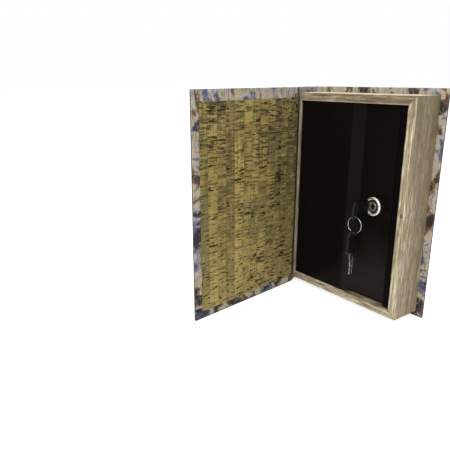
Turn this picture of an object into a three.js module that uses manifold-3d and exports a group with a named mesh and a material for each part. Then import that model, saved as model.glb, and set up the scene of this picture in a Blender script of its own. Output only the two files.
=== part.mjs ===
// Book diversion safe: a hardback book whose page block is a wood-grain frame around a
// black steel box with a key-locked door. Millimetres, +Z up.
//
// The book stands on the bottom edges of its two covers. Layout before the final shift:
//   x = 0 is the spine side of the page block, x = BLOCK_W its fore-edge side
//   y = 0 is the front face of the page block, y = BLOCK_D its back face
//   z = 0 is the bottom edge of the covers
// The front cover is drawn opened by COVER_OPEN_DEG from shut, with the key in the lock.
import * as THREE from 'three';
import { mergeVertices } from 'three/addons/utils/BufferGeometryUtils.js';
import Module from 'manifold-3d';

// ---------- driving dimensions ----------
const COVER_H = 265;            // height of both covers
const BLOCK_W = 167.3;          // page block, across
const BLOCK_D = 42.5;           // page block, front to back
const BLOCK_Z0 = 6.85;          // page block, bottom and top
const BLOCK_Z1 = 258.15;
const RIM_L = 3.7;              // width of the frame's front edge, per side
const RIM_R = 9.95;
const RIM_T = 9.7;
const RIM_B = 9.5;
const MITRE_GAP = 0.25;

const COVER_OPEN_DEG = 83.375;  // how far the front cover stands open
const HINGE_X = -1.2;           // the front cover's hinge line
const HINGE_Y = -3.0;
const COVER_LEN = 176.2;        // hinge line to fore-edge
const JOINT_W = 6.8;            // width of the flexible joint beside the spine
// thickness stations of the front cover, measured outwards from its inner face
const N_HINGE = 2.4;
const CORK_N = [0.0, 0.6];
const BOARD_N = [0.9, 2.7];
const WRAP_N = [3.0, 3.4];
const CORK_U = [2.0, 165.9];    // cork lining, hinge line to fore-edge
const CORK_Z = [9.6, 251.9];

const BACK_BOARD_Y = [42.85, 44.85];
const BACK_WRAP_Y = [45.15, 45.65];
const BACK_X = [6.0, 175.8];    // back cover board, joint to fore-edge

const SPINE_R = 38.4;           // outer radius of the rounded spine
const SPINE_CX = 27.8;          // its centre
const SPINE_CY = 21.3;
const SPINE_WRAP_T = 0.5;
const SPINE_BOARD_T = 1.6;
const BAND_H = 6;               // raised bands, along the spine
const BAND_OUT = 1.5;
const BAND_Z = [10, 52, 114, 196, 233];

const SHEET = 1.2;              // steel sheet
const DOOR_Z = [16.95, 247.85];
const DOOR_FACE_Y = 0.3;        // flush part of the door
const CHANNEL_Y = 8.0;          // recessed part, where the lock sits
const BEVEL_X = [87, 99];
const DOOR_X1 = 147.3;
const DOOR_PIN_X = 6.9;
const DOOR_PIN_Y = 2.8;
const KNUCKLE_R = 2.5;
const PIN_R = 1.5;
const PIN_BORE_R = 1.65;

const BOX_X = [4.1, 157.0];
const BOX_Z = [16.65, 248.15];
const BOX_BACK_Y = 42.2;
const STRIKE_X = 148.0;         // fixed strike strip beside the door's free edge
const STRIKE_Y = 1.2;
const STRIKE_BACK_Y = 25.0;
const PLATE_Y0 = 14;            // front edge of the box's end plates

const LOCK_X = 119.8;
const LOCK_Z = 132.3;

// key, in its own plane: s runs from the end of the head towards its outer end, t across
const BOW_L = 27.5;
const BOW_W = 23;
const BOW_T = 3.5;
const BOW_CORNER = [8.0, 3.5];   // at the outer end and at the blade end
const SLOT_S = [19.9, 25.5];
const SLOT_HALF = 8.5;
const SLOT_CORNER = [4.2, 1.2];
const BLADE_T = 1.7;
const BLADE_LEN = 26.5;
const BLADE_OFF = 1.25;         // blade centre line, off the head's centre line
const BLADE_HALF = 3.0;
const NECK_HALF = 5.5;
const NECK_LEN = 6.8;
const KEY1_Y = -2.8;            // where the inserted key's head starts
const RING_R = 9.15;
const RING_WIRE = 0.7;
const RING_Y = -24.1;
const RING_DROP = 5.83;         // ring centre below the middle of the head's rim

// shift that puts the origin at the middle of the back cover board's bottom edge
const ORIGIN_X = (BACK_X[0] + BACK_X[1]) / 2;
const ORIGIN_Y = (BACK_BOARD_Y[0] + BACK_BOARD_Y[1]) / 2;

// ---------- solids ----------
const wasm = await Module();
wasm.setup();

function solid(geometry) {
  let g = geometry.clone();
  g.deleteAttribute('normal');
  g.deleteAttribute('uv');
  g = mergeVertices(g, 1e-4);
  const tri = g.index ? new Uint32Array(g.index.array) : Uint32Array.from({ length: g.attributes.position.count }, (_, i) => i);
  return new wasm.Manifold(new wasm.Mesh({ numProp: 3, vertProperties: new Float32Array(g.attributes.position.array), triVerts: tri }));
}

function geometryOf(manifold) {
  const m = manifold.getMesh();
  const g = new THREE.BufferGeometry();
  const n = m.numProp;
  const pos = new Float32Array(m.vertProperties.length / n * 3);
  for (let i = 0; i < pos.length / 3; i++) for (let k = 0; k < 3; k++) pos[3 * i + k] = m.vertProperties[n * i + k];
  g.setAttribute('position', new THREE.BufferAttribute(pos, 3));
  g.setIndex(new THREE.BufferAttribute(new Uint32Array(m.triVerts), 1));
  g.computeVertexNormals();
  return g;
}

const cut = (a, ...bs) => geometryOf(bs.reduce((s, b) => s.subtract(solid(b)), solid(a)));
const join = (a, ...bs) => geometryOf(bs.reduce((s, b) => s.add(solid(b)), solid(a)));

function boxGeo(x0, x1, y0, y1, z0, z1) {
  return new THREE.BoxGeometry(x1 - x0, y1 - y0, z1 - z0).translate((x0 + x1) / 2, (y0 + y1) / 2, (z0 + z1) / 2);
}

function shapeOf(points, holes = []) {
  const s = new THREE.Shape(points.map((p) => new THREE.Vector2(p[0], p[1])));
  for (const h of holes) s.holes.push(new THREE.Path(h.map((p) => new THREE.Vector2(p[0], p[1]))));
  return s;
}

// outline in x and y, raised along z
function prismZ(points, z0, z1, holes) {
  return new THREE.ExtrudeGeometry(shapeOf(points, holes), { depth: z1 - z0, bevelEnabled: false }).translate(0, 0, z0);
}

// outline in x and z, carried along y
function prismY(points, y0, y1) {
  const g = new THREE.ExtrudeGeometry(shapeOf(points.map((p) => [p[0], p[1]])), { depth: y1 - y0, bevelEnabled: false });
  g.rotateX(Math.PI / 2);       // outline y becomes z, depth runs towards -y
  return g.translate(0, y1, 0);
}

function rodZ(r, x, y, z0, z1, seg = 24) {
  return new THREE.CylinderGeometry(r, r, z1 - z0, seg).rotateX(Math.PI / 2).translate(x, y, (z0 + z1) / 2);
}
function rodY(r, x, z, y0, y1, seg = 28) {
  return new THREE.CylinderGeometry(r, r, y1 - y0, seg).translate(x, (y0 + y1) / 2, z);
}
function rodX(r, y, z, x0, x1, seg = 16) {
  return new THREE.CylinderGeometry(r, r, x1 - x0, seg).rotateZ(Math.PI / 2).translate((x0 + x1) / 2, y, z);
}

// closed outline of radius and height, turned about the y axis
function turned(profile, seg = 36) {
  return new THREE.LatheGeometry(profile.map((p) => new THREE.Vector2(p[0], p[1])), seg);
}

// r rounds the two corners at x1, r0 those at x0
function roundedRect(x0, x1, y0, y1, r, seg = 4, r0 = r) {
  const pts = [];
  const arc = (cx, cy, a0, q) => {
    for (let i = 0; i <= seg; i++) {
      const a = a0 + (Math.PI / 2) * (i / seg);
      pts.push([cx + q * Math.cos(a), cy + q * Math.sin(a)]);
    }
  };
  arc(x1 - r, y0 + r, -Math.PI / 2, r);
  arc(x1 - r, y1 - r, 0, r);
  arc(x0 + r0, y1 - r0, Math.PI / 2, r0);
  arc(x0 + r0, y0 + r0, Math.PI, r0);
  return pts;
}

// ---------- finishes ----------
const paint = (color, roughness, metalness) => new THREE.MeshStandardMaterial({ color, roughness, metalness });
const FINISH = {
  board: () => paint(0x8f8676, 0.9, 0),
  print: () => paint(0x9c5f2a, 0.6, 0),
  cork: () => paint(0x8a7744, 0.85, 0),
  wood: () => paint(0xa39780, 0.7, 0),
  steel: () => paint(0x17130f, 0.45, 0.4),
  chrome: () => paint(0xc8c8c4, 0.15, 1),
  zinc: () => paint(0x9a9a98, 0.35, 0.9),
  key: () => paint(0xb8b7b0, 0.25, 1),
  plastic: () => paint(0x0d0d10, 0.4, 0),
  magnet: () => paint(0x6f6a64, 0.4, 0.8),
};

const book = new THREE.Group();
const stage = new THREE.Group();      // everything in page-block coordinates
stage.position.set(-ORIGIN_X, -ORIGIN_Y, 0);
book.add(stage);

function piece(parent, name, geometry, material) {
  const m = new THREE.Mesh(geometry, material);
  m.name = name;
  parent.add(m);
  return m;
}

// ---------- page block: four mitred, wood-grain members ----------
const inX0 = RIM_L, inX1 = BLOCK_W - RIM_R, inZ0 = BLOCK_Z0 + RIM_B, inZ1 = BLOCK_Z1 - RIM_T;
const gapL = MITRE_GAP / Math.cos(Math.atan2(RIM_L, RIM_B));
const gapR = MITRE_GAP / Math.cos(Math.atan2(RIM_R, RIM_B));
const SCREW_Z = [60, 205];
const SCREW_Y = 33;

let frameLeft = prismY([[0, BLOCK_Z0], [inX0, inZ0], [inX0, inZ1], [0, BLOCK_Z1]], 0, BLOCK_D);
frameLeft = cut(frameLeft, ...SCREW_Z.map((z) => rodX(2.0, SCREW_Y, z, 0.9, 5)));
piece(stage, 'frame_left', frameLeft, FINISH.wood());

const MAGNET = { x: 162.7, z: 130.8, r: 2.0, depth: 2.4 };
let frameRight = prismY([[inX1, inZ0], [BLOCK_W, BLOCK_Z0], [BLOCK_W, BLOCK_Z1], [inX1, inZ1]], 0, BLOCK_D);
frameRight = cut(frameRight,
  rodY(MAGNET.r + 0.3, MAGNET.x, MAGNET.z, -1, MAGNET.depth + 0.3, 20),
  ...SCREW_Z.map((z) => rodX(2.0, SCREW_Y, z, 156, 161.7)));
piece(stage, 'frame_right', frameRight, FINISH.wood());

piece(stage, 'frame_bottom', prismY([[gapL, BLOCK_Z0], [BLOCK_W - gapR, BLOCK_Z0], [inX1 - gapR, inZ0], [inX0 + gapL, inZ0]], 0, BLOCK_D), FINISH.wood());
piece(stage, 'frame_top', prismY([[inX0 + gapL, inZ1], [inX1 - gapR, inZ1], [BLOCK_W - gapR, BLOCK_Z1], [gapL, BLOCK_Z1]], 0, BLOCK_D), FINISH.wood());
piece(stage, 'frame_magnet', rodY(MAGNET.r, MAGNET.x, MAGNET.z, 0.05, MAGNET.depth, 20), FINISH.magnet());

// ---------- back cover ----------
piece(stage, 'back_cover_board', boxGeo(BACK_X[0], BACK_X[1], BACK_BOARD_Y[0], BACK_BOARD_Y[1], 0, COVER_H), FINISH.board());
piece(stage, 'back_cover_wrap', boxGeo(BACK_X[0], BACK_X[1], BACK_WRAP_Y[0], BACK_WRAP_Y[1], 0.4, COVER_H - 0.4), FINISH.print());
piece(stage, 'back_joint_strip', boxGeo(-0.9, BACK_X[0] - 0.3, 43.0, 43.9, 0.4, COVER_H - 0.4), FINISH.print());

// ---------- rounded spine ----------
function arcShell(rOut, rIn, yLo, yHi, seg) {
  const pts = [];
  for (let i = 0; i <= seg; i++) {
    const y = yLo + (yHi - yLo) * (i / seg);
    pts.push([SPINE_CX - Math.sqrt(rOut * rOut - (y - SPINE_CY) ** 2), y]);
  }
  for (let i = seg; i >= 0; i--) {
    const y = yLo + (yHi - yLo) * (i / seg);
    pts.push([SPINE_CX - Math.sqrt(rIn * rIn - (y - SPINE_CY) ** 2), y]);
  }
  return pts.reverse();
}
const wrapIn = SPINE_R - SPINE_WRAP_T;
const boardOut = wrapIn - 0.3;
let spineWrap = prismZ(arcShell(SPINE_R, wrapIn, -3.2, 44.6, 16), 0.4, COVER_H - 0.4);
spineWrap = join(spineWrap, ...BAND_Z.map((z) => prismZ(arcShell(SPINE_R + BAND_OUT, wrapIn + 0.2, -1.5, 43.6, 14), z - BAND_H / 2, z + BAND_H / 2)));
piece(stage, 'spine_wrap', spineWrap, FINISH.print());
piece(stage, 'spine_board', prismZ(arcShell(boardOut, boardOut - SPINE_BOARD_T, -1.4, 42.6, 14), 0, COVER_H), FINISH.board());

// ---------- steel box ----------
let boxBody = prismZ([
  [BOX_X[0], 6.5], [BOX_X[0] + SHEET, 6.5], [BOX_X[0] + SHEET, BOX_BACK_Y - SHEET], [BOX_X[1] - SHEET, BOX_BACK_Y - SHEET],
  [BOX_X[1] - SHEET, STRIKE_Y], [BOX_X[1], STRIKE_Y], [BOX_X[1], BOX_BACK_Y], [BOX_X[0], BOX_BACK_Y],
].reverse(), BOX_Z[0] + SHEET + 0.3, BOX_Z[1] - SHEET - 0.3);
boxBody = cut(boxBody,
  ...SCREW_Z.map((z) => rodX(2.0, SCREW_Y, z, BOX_X[0] - 1, BOX_X[0] + 2.5)),
  ...SCREW_Z.map((z) => rodX(2.0, SCREW_Y, z, BOX_X[1] - 2.5, BOX_X[1] + 1)));
piece(stage, 'box_body', boxBody, FINISH.steel());

// end plates, each with the ear that carries a door hinge pin
const earX1 = 11.0, earY0 = 0.5, earT = 2.6;
let boxBottom = join(boxGeo(BOX_X[0], BOX_X[1], PLATE_Y0, BOX_BACK_Y, BOX_Z[0], BOX_Z[0] + SHEET),
  boxGeo(4.4, earX1, earY0, PLATE_Y0 + 2, BOX_Z[0], BOX_Z[0] + earT));
boxBottom = cut(boxBottom, boxGeo(0, earX1 + 1, 6.2, 45, BOX_Z[0] + SHEET, BOX_Z[0] + earT + 1), rodZ(PIN_BORE_R, DOOR_PIN_X, DOOR_PIN_Y, BOX_Z[0] - 1, BOX_Z[0] + earT + 1));
piece(stage, 'box_bottom', boxBottom, FINISH.steel());
let boxTop = join(boxGeo(BOX_X[0], BOX_X[1], PLATE_Y0, BOX_BACK_Y, BOX_Z[1] - SHEET, BOX_Z[1]),
  boxGeo(4.4, earX1, earY0, PLATE_Y0 + 2, BOX_Z[1] - earT, BOX_Z[1]));
boxTop = cut(boxTop, boxGeo(0, earX1 + 1, 6.2, 45, BOX_Z[1] - earT - 1, BOX_Z[1] - SHEET), rodZ(PIN_BORE_R, DOOR_PIN_X, DOOR_PIN_Y, BOX_Z[1] - earT - 1, BOX_Z[1] + 1));
piece(stage, 'box_top', boxTop, FINISH.steel());

// folded strip that the cam locks behind
piece(stage, 'strike_strip', prismZ([
  [STRIKE_X, STRIKE_Y], [BOX_X[1] - SHEET - 0.3, STRIKE_Y], [BOX_X[1] - SHEET - 0.3, STRIKE_Y + SHEET],
  [STRIKE_X + SHEET, STRIKE_Y + SHEET], [STRIKE_X + SHEET, STRIKE_BACK_Y], [STRIKE_X, STRIKE_BACK_Y],
], BOX_Z[0] + SHEET + 0.3, BOX_Z[1] - SHEET - 0.3), FINISH.steel());

// pins of the door hinge
const pinLen = 15;
piece(stage, 'hinge_pin_lower', rodZ(PIN_R, DOOR_PIN_X, DOOR_PIN_Y, BOX_Z[0] + 0.1, BOX_Z[0] + pinLen, 20), FINISH.zinc());
piece(stage, 'hinge_pin_upper', rodZ(PIN_R, DOOR_PIN_X, DOOR_PIN_Y, BOX_Z[1] - pinLen, BOX_Z[1] - 0.1, 20), FINISH.zinc());

// screws that hold the box in the frame
function screwGeo(headX, tipX) {
  const s = Math.sign(tipX - headX);      // from head to tip
  const head = 1.6, len = Math.abs(tipX - headX);
  const g = turned([[0, 0], [2.2, 0], [3.0, 0.7], [3.0, head], [1.6, head], [1.6, len - 0.8], [0.8, len], [0, len]], 14);
  g.rotateZ(s > 0 ? -Math.PI / 2 : Math.PI / 2);
  return g.translate(headX, 0, 0);
}
SCREW_Z.forEach((z, i) => {
  const left = piece(stage, `box_screw_left_${i + 1}`, screwGeo(BOX_X[0] + SHEET + 0.3 + 1.6, 1.3), FINISH.zinc());
  left.position.set(0, SCREW_Y, z);
  const right = piece(stage, `box_screw_right_${i + 1}`, screwGeo(BOX_X[1] - SHEET - 0.3 - 1.6, 161.3), FINISH.zinc());
  right.position.set(0, SCREW_Y, z);
});

// ---------- door ----------
const bevelDir = new THREE.Vector2(BEVEL_X[1] - BEVEL_X[0], CHANNEL_Y - DOOR_FACE_Y).normalize();
const bevelShift = SHEET * (1 - bevelDir.x) / bevelDir.y;       // mitre shift of the offset fold lines
const hemX0 = DOOR_X1 - SHEET, hemY = 13.2;
let door = prismZ([
  [DOOR_PIN_X, DOOR_FACE_Y + SHEET], [DOOR_PIN_X, DOOR_FACE_Y], [BEVEL_X[0], DOOR_FACE_Y], [BEVEL_X[1], CHANNEL_Y], [DOOR_X1, CHANNEL_Y],
  [DOOR_X1, hemY], [hemX0, hemY], [hemX0, CHANNEL_Y + SHEET], [BEVEL_X[1] - bevelShift, CHANNEL_Y + SHEET], [BEVEL_X[0] - bevelShift, DOOR_FACE_Y + SHEET],
], DOOR_Z[0], DOOR_Z[1]);
door = join(door, rodZ(KNUCKLE_R, DOOR_PIN_X, DOOR_PIN_Y, DOOR_Z[0] + 1, DOOR_Z[1] - 1, 24));
door = cut(door,
  rodZ(PIN_BORE_R, DOOR_PIN_X, DOOR_PIN_Y, DOOR_Z[0] - 2, DOOR_Z[1] + 2, 24),
  boxGeo(1.8, 11.8, -2, 12, DOOR_Z[0] - 2, BOX_Z[0] + earT + 0.5),
  boxGeo(1.8, 11.8, -2, 12, BOX_Z[1] - earT - 0.5, DOOR_Z[1] + 2),
  rodY(8.35, LOCK_X, LOCK_Z, 5, 12, 36));
piece(stage, 'door_panel', door, FINISH.steel());

// ---------- cam lock ----------
const lock = new THREE.Group();       // y runs along the lock, from the flange inwards
lock.position.set(LOCK_X, 0, LOCK_Z);
stage.add(lock);
piece(lock, 'lock_body', turned([
  [6.15, 5.5], [7.1, 4.7], [8.2, 4.3], [9.6, 4.45], [10.7, 5.1], [11.35, 6.3], [11.35, 7.7], [8.0, 7.7], [8.0, 25.3], [6.15, 25.3], [6.15, 5.5],
]), FINISH.chrome());
piece(lock, 'lock_washer', turned([[8.4, 9.5], [10.8, 9.5], [10.8, 10.2], [8.4, 10.2], [8.4, 9.5]], 28), FINISH.zinc());
const nutOuter = [];
for (let i = 0; i < 6; i++) nutOuter.push([11.5 * Math.cos(i * Math.PI / 3), 11.5 * Math.sin(i * Math.PI / 3)]);
piece(lock, 'lock_nut', cut(prismY(nutOuter, 10.5, 13.8), rodY(8.35, 0, 0, 9, 15, 28)), FINISH.zinc());

const plugGeo = cut(join(rodY(5.8, 0, 0, 4.9, 25.6, 32), boxGeo(-3.25, 3.25, 25.0, 28.6, -3.25, 3.25)),
  boxGeo(-BLADE_T / 2 - 0.35, BLADE_T / 2 + 0.35, 0, 24.0, -BLADE_HALF - 0.4, BLADE_HALF + 0.4),
  rodY(1.95, 0, 0, 24.6, 30, 16));
piece(lock, 'lock_plug', plugGeo, FINISH.chrome());

// cam, pointing down when unlocked
const camOutline = [];
for (let i = 0; i <= 10; i++) {
  const a = Math.PI * (i / 10);
  camOutline.push([6.5 * Math.cos(a), 6.5 * Math.sin(a)]);
}
camOutline.push([-6.5, -29.5], [-4.5, -33.5], [4.5, -33.5], [6.5, -29.5]);
piece(lock, 'lock_cam', cut(prismY(camOutline, 25.9, 27.9), boxGeo(-3.55, 3.55, 25, 29, -3.55, 3.55)), FINISH.zinc());
piece(lock, 'cam_screw', turned([[0, 24.9], [1.2, 24.9], [1.6, 25.4], [1.6, 28.9], [4.6, 28.9], [4.6, 30.0], [3.6, 30.9], [0, 30.9]], 20), FINISH.zinc());

// ---------- keys ----------
function bowGeo() {
  const g = new THREE.ExtrudeGeometry(shapeOf(roundedRect(0, BOW_L, -BOW_W / 2, BOW_W / 2, BOW_CORNER[0], 7, BOW_CORNER[1]),
    [roundedRect(SLOT_S[0], SLOT_S[1], -SLOT_HALF, SLOT_HALF, SLOT_CORNER[0], 5, SLOT_CORNER[1]).reverse()]), { depth: BOW_T, bevelEnabled: false }).translate(0, 0, -BOW_T / 2);
  return cut(g, boxGeo(-1, 6.4, -NECK_HALF - 0.3, NECK_HALF + 0.3, -BLADE_T / 2 - 0.3, BLADE_T / 2 + 0.3));
}
function bladeGeo() {
  const lo = BLADE_OFF - BLADE_HALF, hi = BLADE_OFF + BLADE_HALF, e = -BLADE_LEN;
  const pts = [
    [6.0, -NECK_HALF], [6.0, NECK_HALF], [-NECK_LEN, NECK_HALF], [-NECK_LEN, hi],
    [-8.0, hi], [-9.2, hi - 1.1], [-10.6, hi - 1.1], [-11.8, hi], [-13.2, hi - 0.7], [-14.4, hi - 0.7], [-15.8, hi - 1.4], [-17.2, hi - 1.4], [-18.6, hi - 0.2],
    [-20.0, hi - 0.9], [-21.4, hi - 0.9], [-22.6, hi], [e + 2.2, hi], [e, BLADE_OFF + 0.6], [e, BLADE_OFF - 0.6], [e + 2.2, lo],
    [-21.6, lo], [-20.2, lo + 1.0], [-18.8, lo + 1.0], [-17.4, lo + 0.2], [-15.8, lo + 1.3], [-14.4, lo + 1.3], [-13.0, lo + 0.3], [-11.4, lo + 0.8], [-10.0, lo + 0.8], [-8.8, lo],
    [-NECK_LEN, lo], [-NECK_LEN, -NECK_HALF],
  ];
  return new THREE.ExtrudeGeometry(shapeOf(pts.reverse()), { depth: BLADE_T, bevelEnabled: false }).translate(0, 0, -BLADE_T / 2);
}
function keyGroup(name, xAxis, yAxis, origin) {
  const k = new THREE.Group();
  const zAxis = new THREE.Vector3().crossVectors(xAxis, yAxis);
  k.rotation.setFromRotationMatrix(new THREE.Matrix4().makeBasis(xAxis, yAxis, zAxis));
  k.position.copy(origin);
  stage.add(k);
  piece(k, `${name}_head`, bowGeo(), FINISH.plastic());
  piece(k, `${name}_blade`, bladeGeo(), FINISH.key());
  return k;
}
// first key: in the lock, head upright
keyGroup('key_1', new THREE.Vector3(0, -1, 0), new THREE.Vector3(0, 0, 1), new THREE.Vector3(LOCK_X, KEY1_Y, LOCK_Z - BLADE_OFF));
const rimZ = LOCK_Z - BLADE_OFF - (SLOT_HALF + BOW_W / 2) / 2;
const ringZ = rimZ - RING_DROP;
const ring = piece(stage, 'key_ring', new THREE.TorusGeometry(RING_R, RING_WIRE, 10, 44).rotateX(Math.PI / 2), FINISH.key());
ring.position.set(LOCK_X, RING_Y, ringZ);
// second key: hangs from the ring by its head
const pivotZ = ringZ - RING_R;
keyGroup('key_2', new THREE.Vector3(0, 0, 1), new THREE.Vector3(0, -1, 0), new THREE.Vector3(LOCK_X, RING_Y, pivotZ - (SLOT_S[1] - 0.5 - RING_WIRE)));

// ---------- front cover, turned about its hinge line ----------
const cover = new THREE.Group();      // x runs from the hinge line to the fore-edge, +y is the inner side
cover.position.set(HINGE_X, HINGE_Y, 0);
cover.rotation.z = -THREE.MathUtils.degToRad(COVER_OPEN_DEG);
stage.add(cover);
const nY = (n) => N_HINGE - n;        // thickness station to local y
const KEEPER = { u: 163.9 - (-1.2), z: 130.8, r: 5.0, t: 0.8 };
let frontBoard = boxGeo(JOINT_W, COVER_LEN, nY(BOARD_N[1]), nY(BOARD_N[0]), 0, COVER_H);
frontBoard = cut(frontBoard, rodY(KEEPER.r + 0.3, KEEPER.u, KEEPER.z, nY(BOARD_N[0]) - KEEPER.t - 0.3, nY(BOARD_N[0]) + 1, 24));
piece(cover, 'front_cover_board', frontBoard, FINISH.board());
piece(cover, 'cover_keeper', rodY(KEEPER.r, KEEPER.u, KEEPER.z, nY(BOARD_N[0]) - KEEPER.t, nY(BOARD_N[0]), 24), FINISH.magnet());
piece(cover, 'front_cover_wrap', boxGeo(JOINT_W, COVER_LEN, nY(WRAP_N[1]), nY(WRAP_N[0]), 0.4, COVER_H - 0.4), FINISH.print());
piece(cover, 'cork_lining', boxGeo(CORK_U[0], CORK_U[1], nY(CORK_N[1]), nY(CORK_N[0]), CORK_Z[0], CORK_Z[1]), FINISH.cork());
piece(cover, 'front_joint_strip', boxGeo(0.6, JOINT_W - 0.3, nY(1.7), nY(0.9), 0.4, COVER_H - 0.4), FINISH.print());

export default book;
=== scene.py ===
import math

import bmesh
import bpy
from mathutils import Matrix, Vector


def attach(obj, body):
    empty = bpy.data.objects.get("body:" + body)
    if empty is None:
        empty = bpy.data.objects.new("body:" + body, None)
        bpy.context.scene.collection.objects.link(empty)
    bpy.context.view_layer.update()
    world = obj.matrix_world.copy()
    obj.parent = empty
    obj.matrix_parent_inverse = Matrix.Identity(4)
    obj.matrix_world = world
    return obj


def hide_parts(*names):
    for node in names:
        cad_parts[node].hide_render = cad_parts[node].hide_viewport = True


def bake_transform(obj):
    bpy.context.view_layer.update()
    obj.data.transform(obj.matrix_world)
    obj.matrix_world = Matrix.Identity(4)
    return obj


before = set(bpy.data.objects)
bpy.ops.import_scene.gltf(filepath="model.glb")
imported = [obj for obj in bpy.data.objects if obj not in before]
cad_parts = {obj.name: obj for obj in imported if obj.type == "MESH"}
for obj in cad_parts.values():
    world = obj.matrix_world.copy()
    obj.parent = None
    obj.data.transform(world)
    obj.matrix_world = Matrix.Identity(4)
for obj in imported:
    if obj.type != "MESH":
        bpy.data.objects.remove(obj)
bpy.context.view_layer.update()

# ---------------------------------------------------------------------------
# Lengths are in millimetres on the page block's own axes and become metres when
# a mesh is made. SHIFT takes those axes to the row frame.
# ---------------------------------------------------------------------------
MM = 0.001
SHIFT = Matrix.Translation(Vector((-90.9, -43.85, 0)) * MM)
OPEN_DEG = 83.375
HINGE = (-1.2, -3.0)
N0 = 2.4
COVER = SHIFT @ Matrix.Translation(Vector((HINGE[0], HINGE[1], 0)) * MM) @ Matrix.Rotation(-math.radians(OPEN_DEG), 4, "Z")
LOCK = (119.8, 132.3)
RIM_Z = LOCK[1] - 1.25 - (8.5 + 11.5) / 2
RING_Z = RIM_Z - 5.83
PIVOT_Z = RING_Z - 9.15
RING_Y = -24.1
COVER_H = 265.0


def P(x, y, z):
    return SHIFT @ (Vector((x, y, z)) * MM)


# ---------------------------------------------------------------------------
# material nodes
# ---------------------------------------------------------------------------
def lin(c):
    c = c / 255.0
    return c / 12.92 if c <= 0.04045 else ((c + 0.055) / 1.055) ** 2.4


def col(r, g, b):
    return (lin(r), lin(g), lin(b), 1.0)


class Mat:
    def __init__(self, name, rough=0.5, metal=0.0):
        self.m = bpy.data.materials.new(name)
        self.m.use_nodes = True
        self.t = self.m.node_tree
        self.t.nodes.clear()
        self.out = self.t.nodes.new("ShaderNodeOutputMaterial")
        self.b = self.t.nodes.new("ShaderNodeBsdfPrincipled")
        self.t.links.new(self.b.outputs[0], self.out.inputs[0])
        self.b.inputs["Roughness"].default_value = rough
        self.b.inputs["Metallic"].default_value = metal

    def put(self, sock, v):
        if v is None:
            return
        if isinstance(v, bpy.types.NodeSocket):
            self.t.links.new(v, sock)
        else:
            sock.default_value = v

    def set(self, name, v):
        self.put(self.b.inputs[name], v)

    def f(self, op, a, b=None, c=None, clamp=False):
        n = self.t.nodes.new("ShaderNodeMath")
        n.operation = op
        n.use_clamp = clamp
        for s, v in zip(n.inputs, (a, b, c)):
            self.put(s, v)
        return n.outputs[0]

    def v(self, op, a, b=None, scale=None):
        n = self.t.nodes.new("ShaderNodeVectorMath")
        n.operation = op
        self.put(n.inputs[0], a)
        self.put(n.inputs[1], b)
        if scale is not None:
            self.put(n.inputs["Scale"], scale)
        return n.outputs[1] if op in ("LENGTH", "DOT_PRODUCT") else n.outputs[0]

    def mm(self):
        c = self.t.nodes.new("ShaderNodeTexCoord")
        return self.v("SCALE", c.outputs["Object"], scale=1000.0)

    def sep(self, vec):
        n = self.t.nodes.new("ShaderNodeSeparateXYZ")
        self.put(n.inputs[0], vec)
        return n.outputs[0], n.outputs[1], n.outputs[2]

    def comb(self, x=0.0, y=0.0, z=0.0):
        n = self.t.nodes.new("ShaderNodeCombineXYZ")
        for s, v in zip(n.inputs, (x, y, z)):
            self.put(s, v)
        return n.outputs[0]

    def scaled(self, vec, x, y, z):
        return self.v("MULTIPLY", vec, (x, y, z))

    def noise(self, vec, scale=1.0, detail=2.0, rough=0.5, dist=0.0):
        n = self.t.nodes.new("ShaderNodeTexNoise")
        self.put(n.inputs["Vector"], vec)
        self.put(n.inputs["Scale"], scale)
        self.put(n.inputs["Detail"], detail)
        self.put(n.inputs["Roughness"], rough)
        self.put(n.inputs["Distortion"], dist)
        return n.outputs[0]

    def white(self, vec):
        n = self.t.nodes.new("ShaderNodeTexWhiteNoise")
        n.noise_dimensions = "3D"
        self.put(n.inputs["Vector"], vec)
        return n.outputs[0]

    def cells(self, vec, scale=1.0, feature="F1", rand=1.0):
        n = self.t.nodes.new("ShaderNodeTexVoronoi")
        n.feature = feature
        self.put(n.inputs["Vector"], vec)
        self.put(n.inputs["Scale"], scale)
        self.put(n.inputs["Randomness"], rand)
        return n.outputs[0]

    def ramp(self, fac, stops, interp="LINEAR"):
        n = self.t.nodes.new("ShaderNodeValToRGB")
        n.color_ramp.interpolation = interp
        e = n.color_ramp.elements
        while len(e) < len(stops):
            e.new(0.5)
        for k, (p, c) in zip(e, stops):
            k.position = p
        for k, (p, c) in zip(e, stops):
            k.color = c if len(c) == 4 else (*c, 1.0)
        self.put(n.inputs[0], fac)
        return n.outputs[0]

    def step(self, x, lo, hi, a=0.0, b=1.0):
        n = self.t.nodes.new("ShaderNodeMapRange")
        n.interpolation_type = "SMOOTHSTEP"
        n.clamp = True
        self.put(n.inputs[0], x)
        self.put(n.inputs[1], lo)
        self.put(n.inputs[2], hi)
        self.put(n.inputs[3], a)
        self.put(n.inputs[4], b)
        return n.outputs[0]

    def mix(self, fac, a, b, blend="MIX"):
        n = self.t.nodes.new("ShaderNodeMix")
        n.data_type = "RGBA"
        n.blend_type = blend
        n.clamp_factor = True
        self.put(n.inputs[0], fac)
        self.put(n.inputs[6], a)
        self.put(n.inputs[7], b)
        return n.outputs[2]

    def grey(self, v):
        n = self.t.nodes.new("ShaderNodeCombineColor")
        for s in n.inputs[:3]:
            self.put(s, v)
        return n.outputs[0]

    def bump(self, height, strength=0.3, dist=0.1):
        n = self.t.nodes.new("ShaderNodeBump")
        n.inputs["Strength"].default_value = strength
        n.inputs["Distance"].default_value = dist * MM
        self.put(n.inputs["Height"], height)
        self.t.links.new(n.outputs[0], self.b.inputs["Normal"])
        return n


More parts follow.
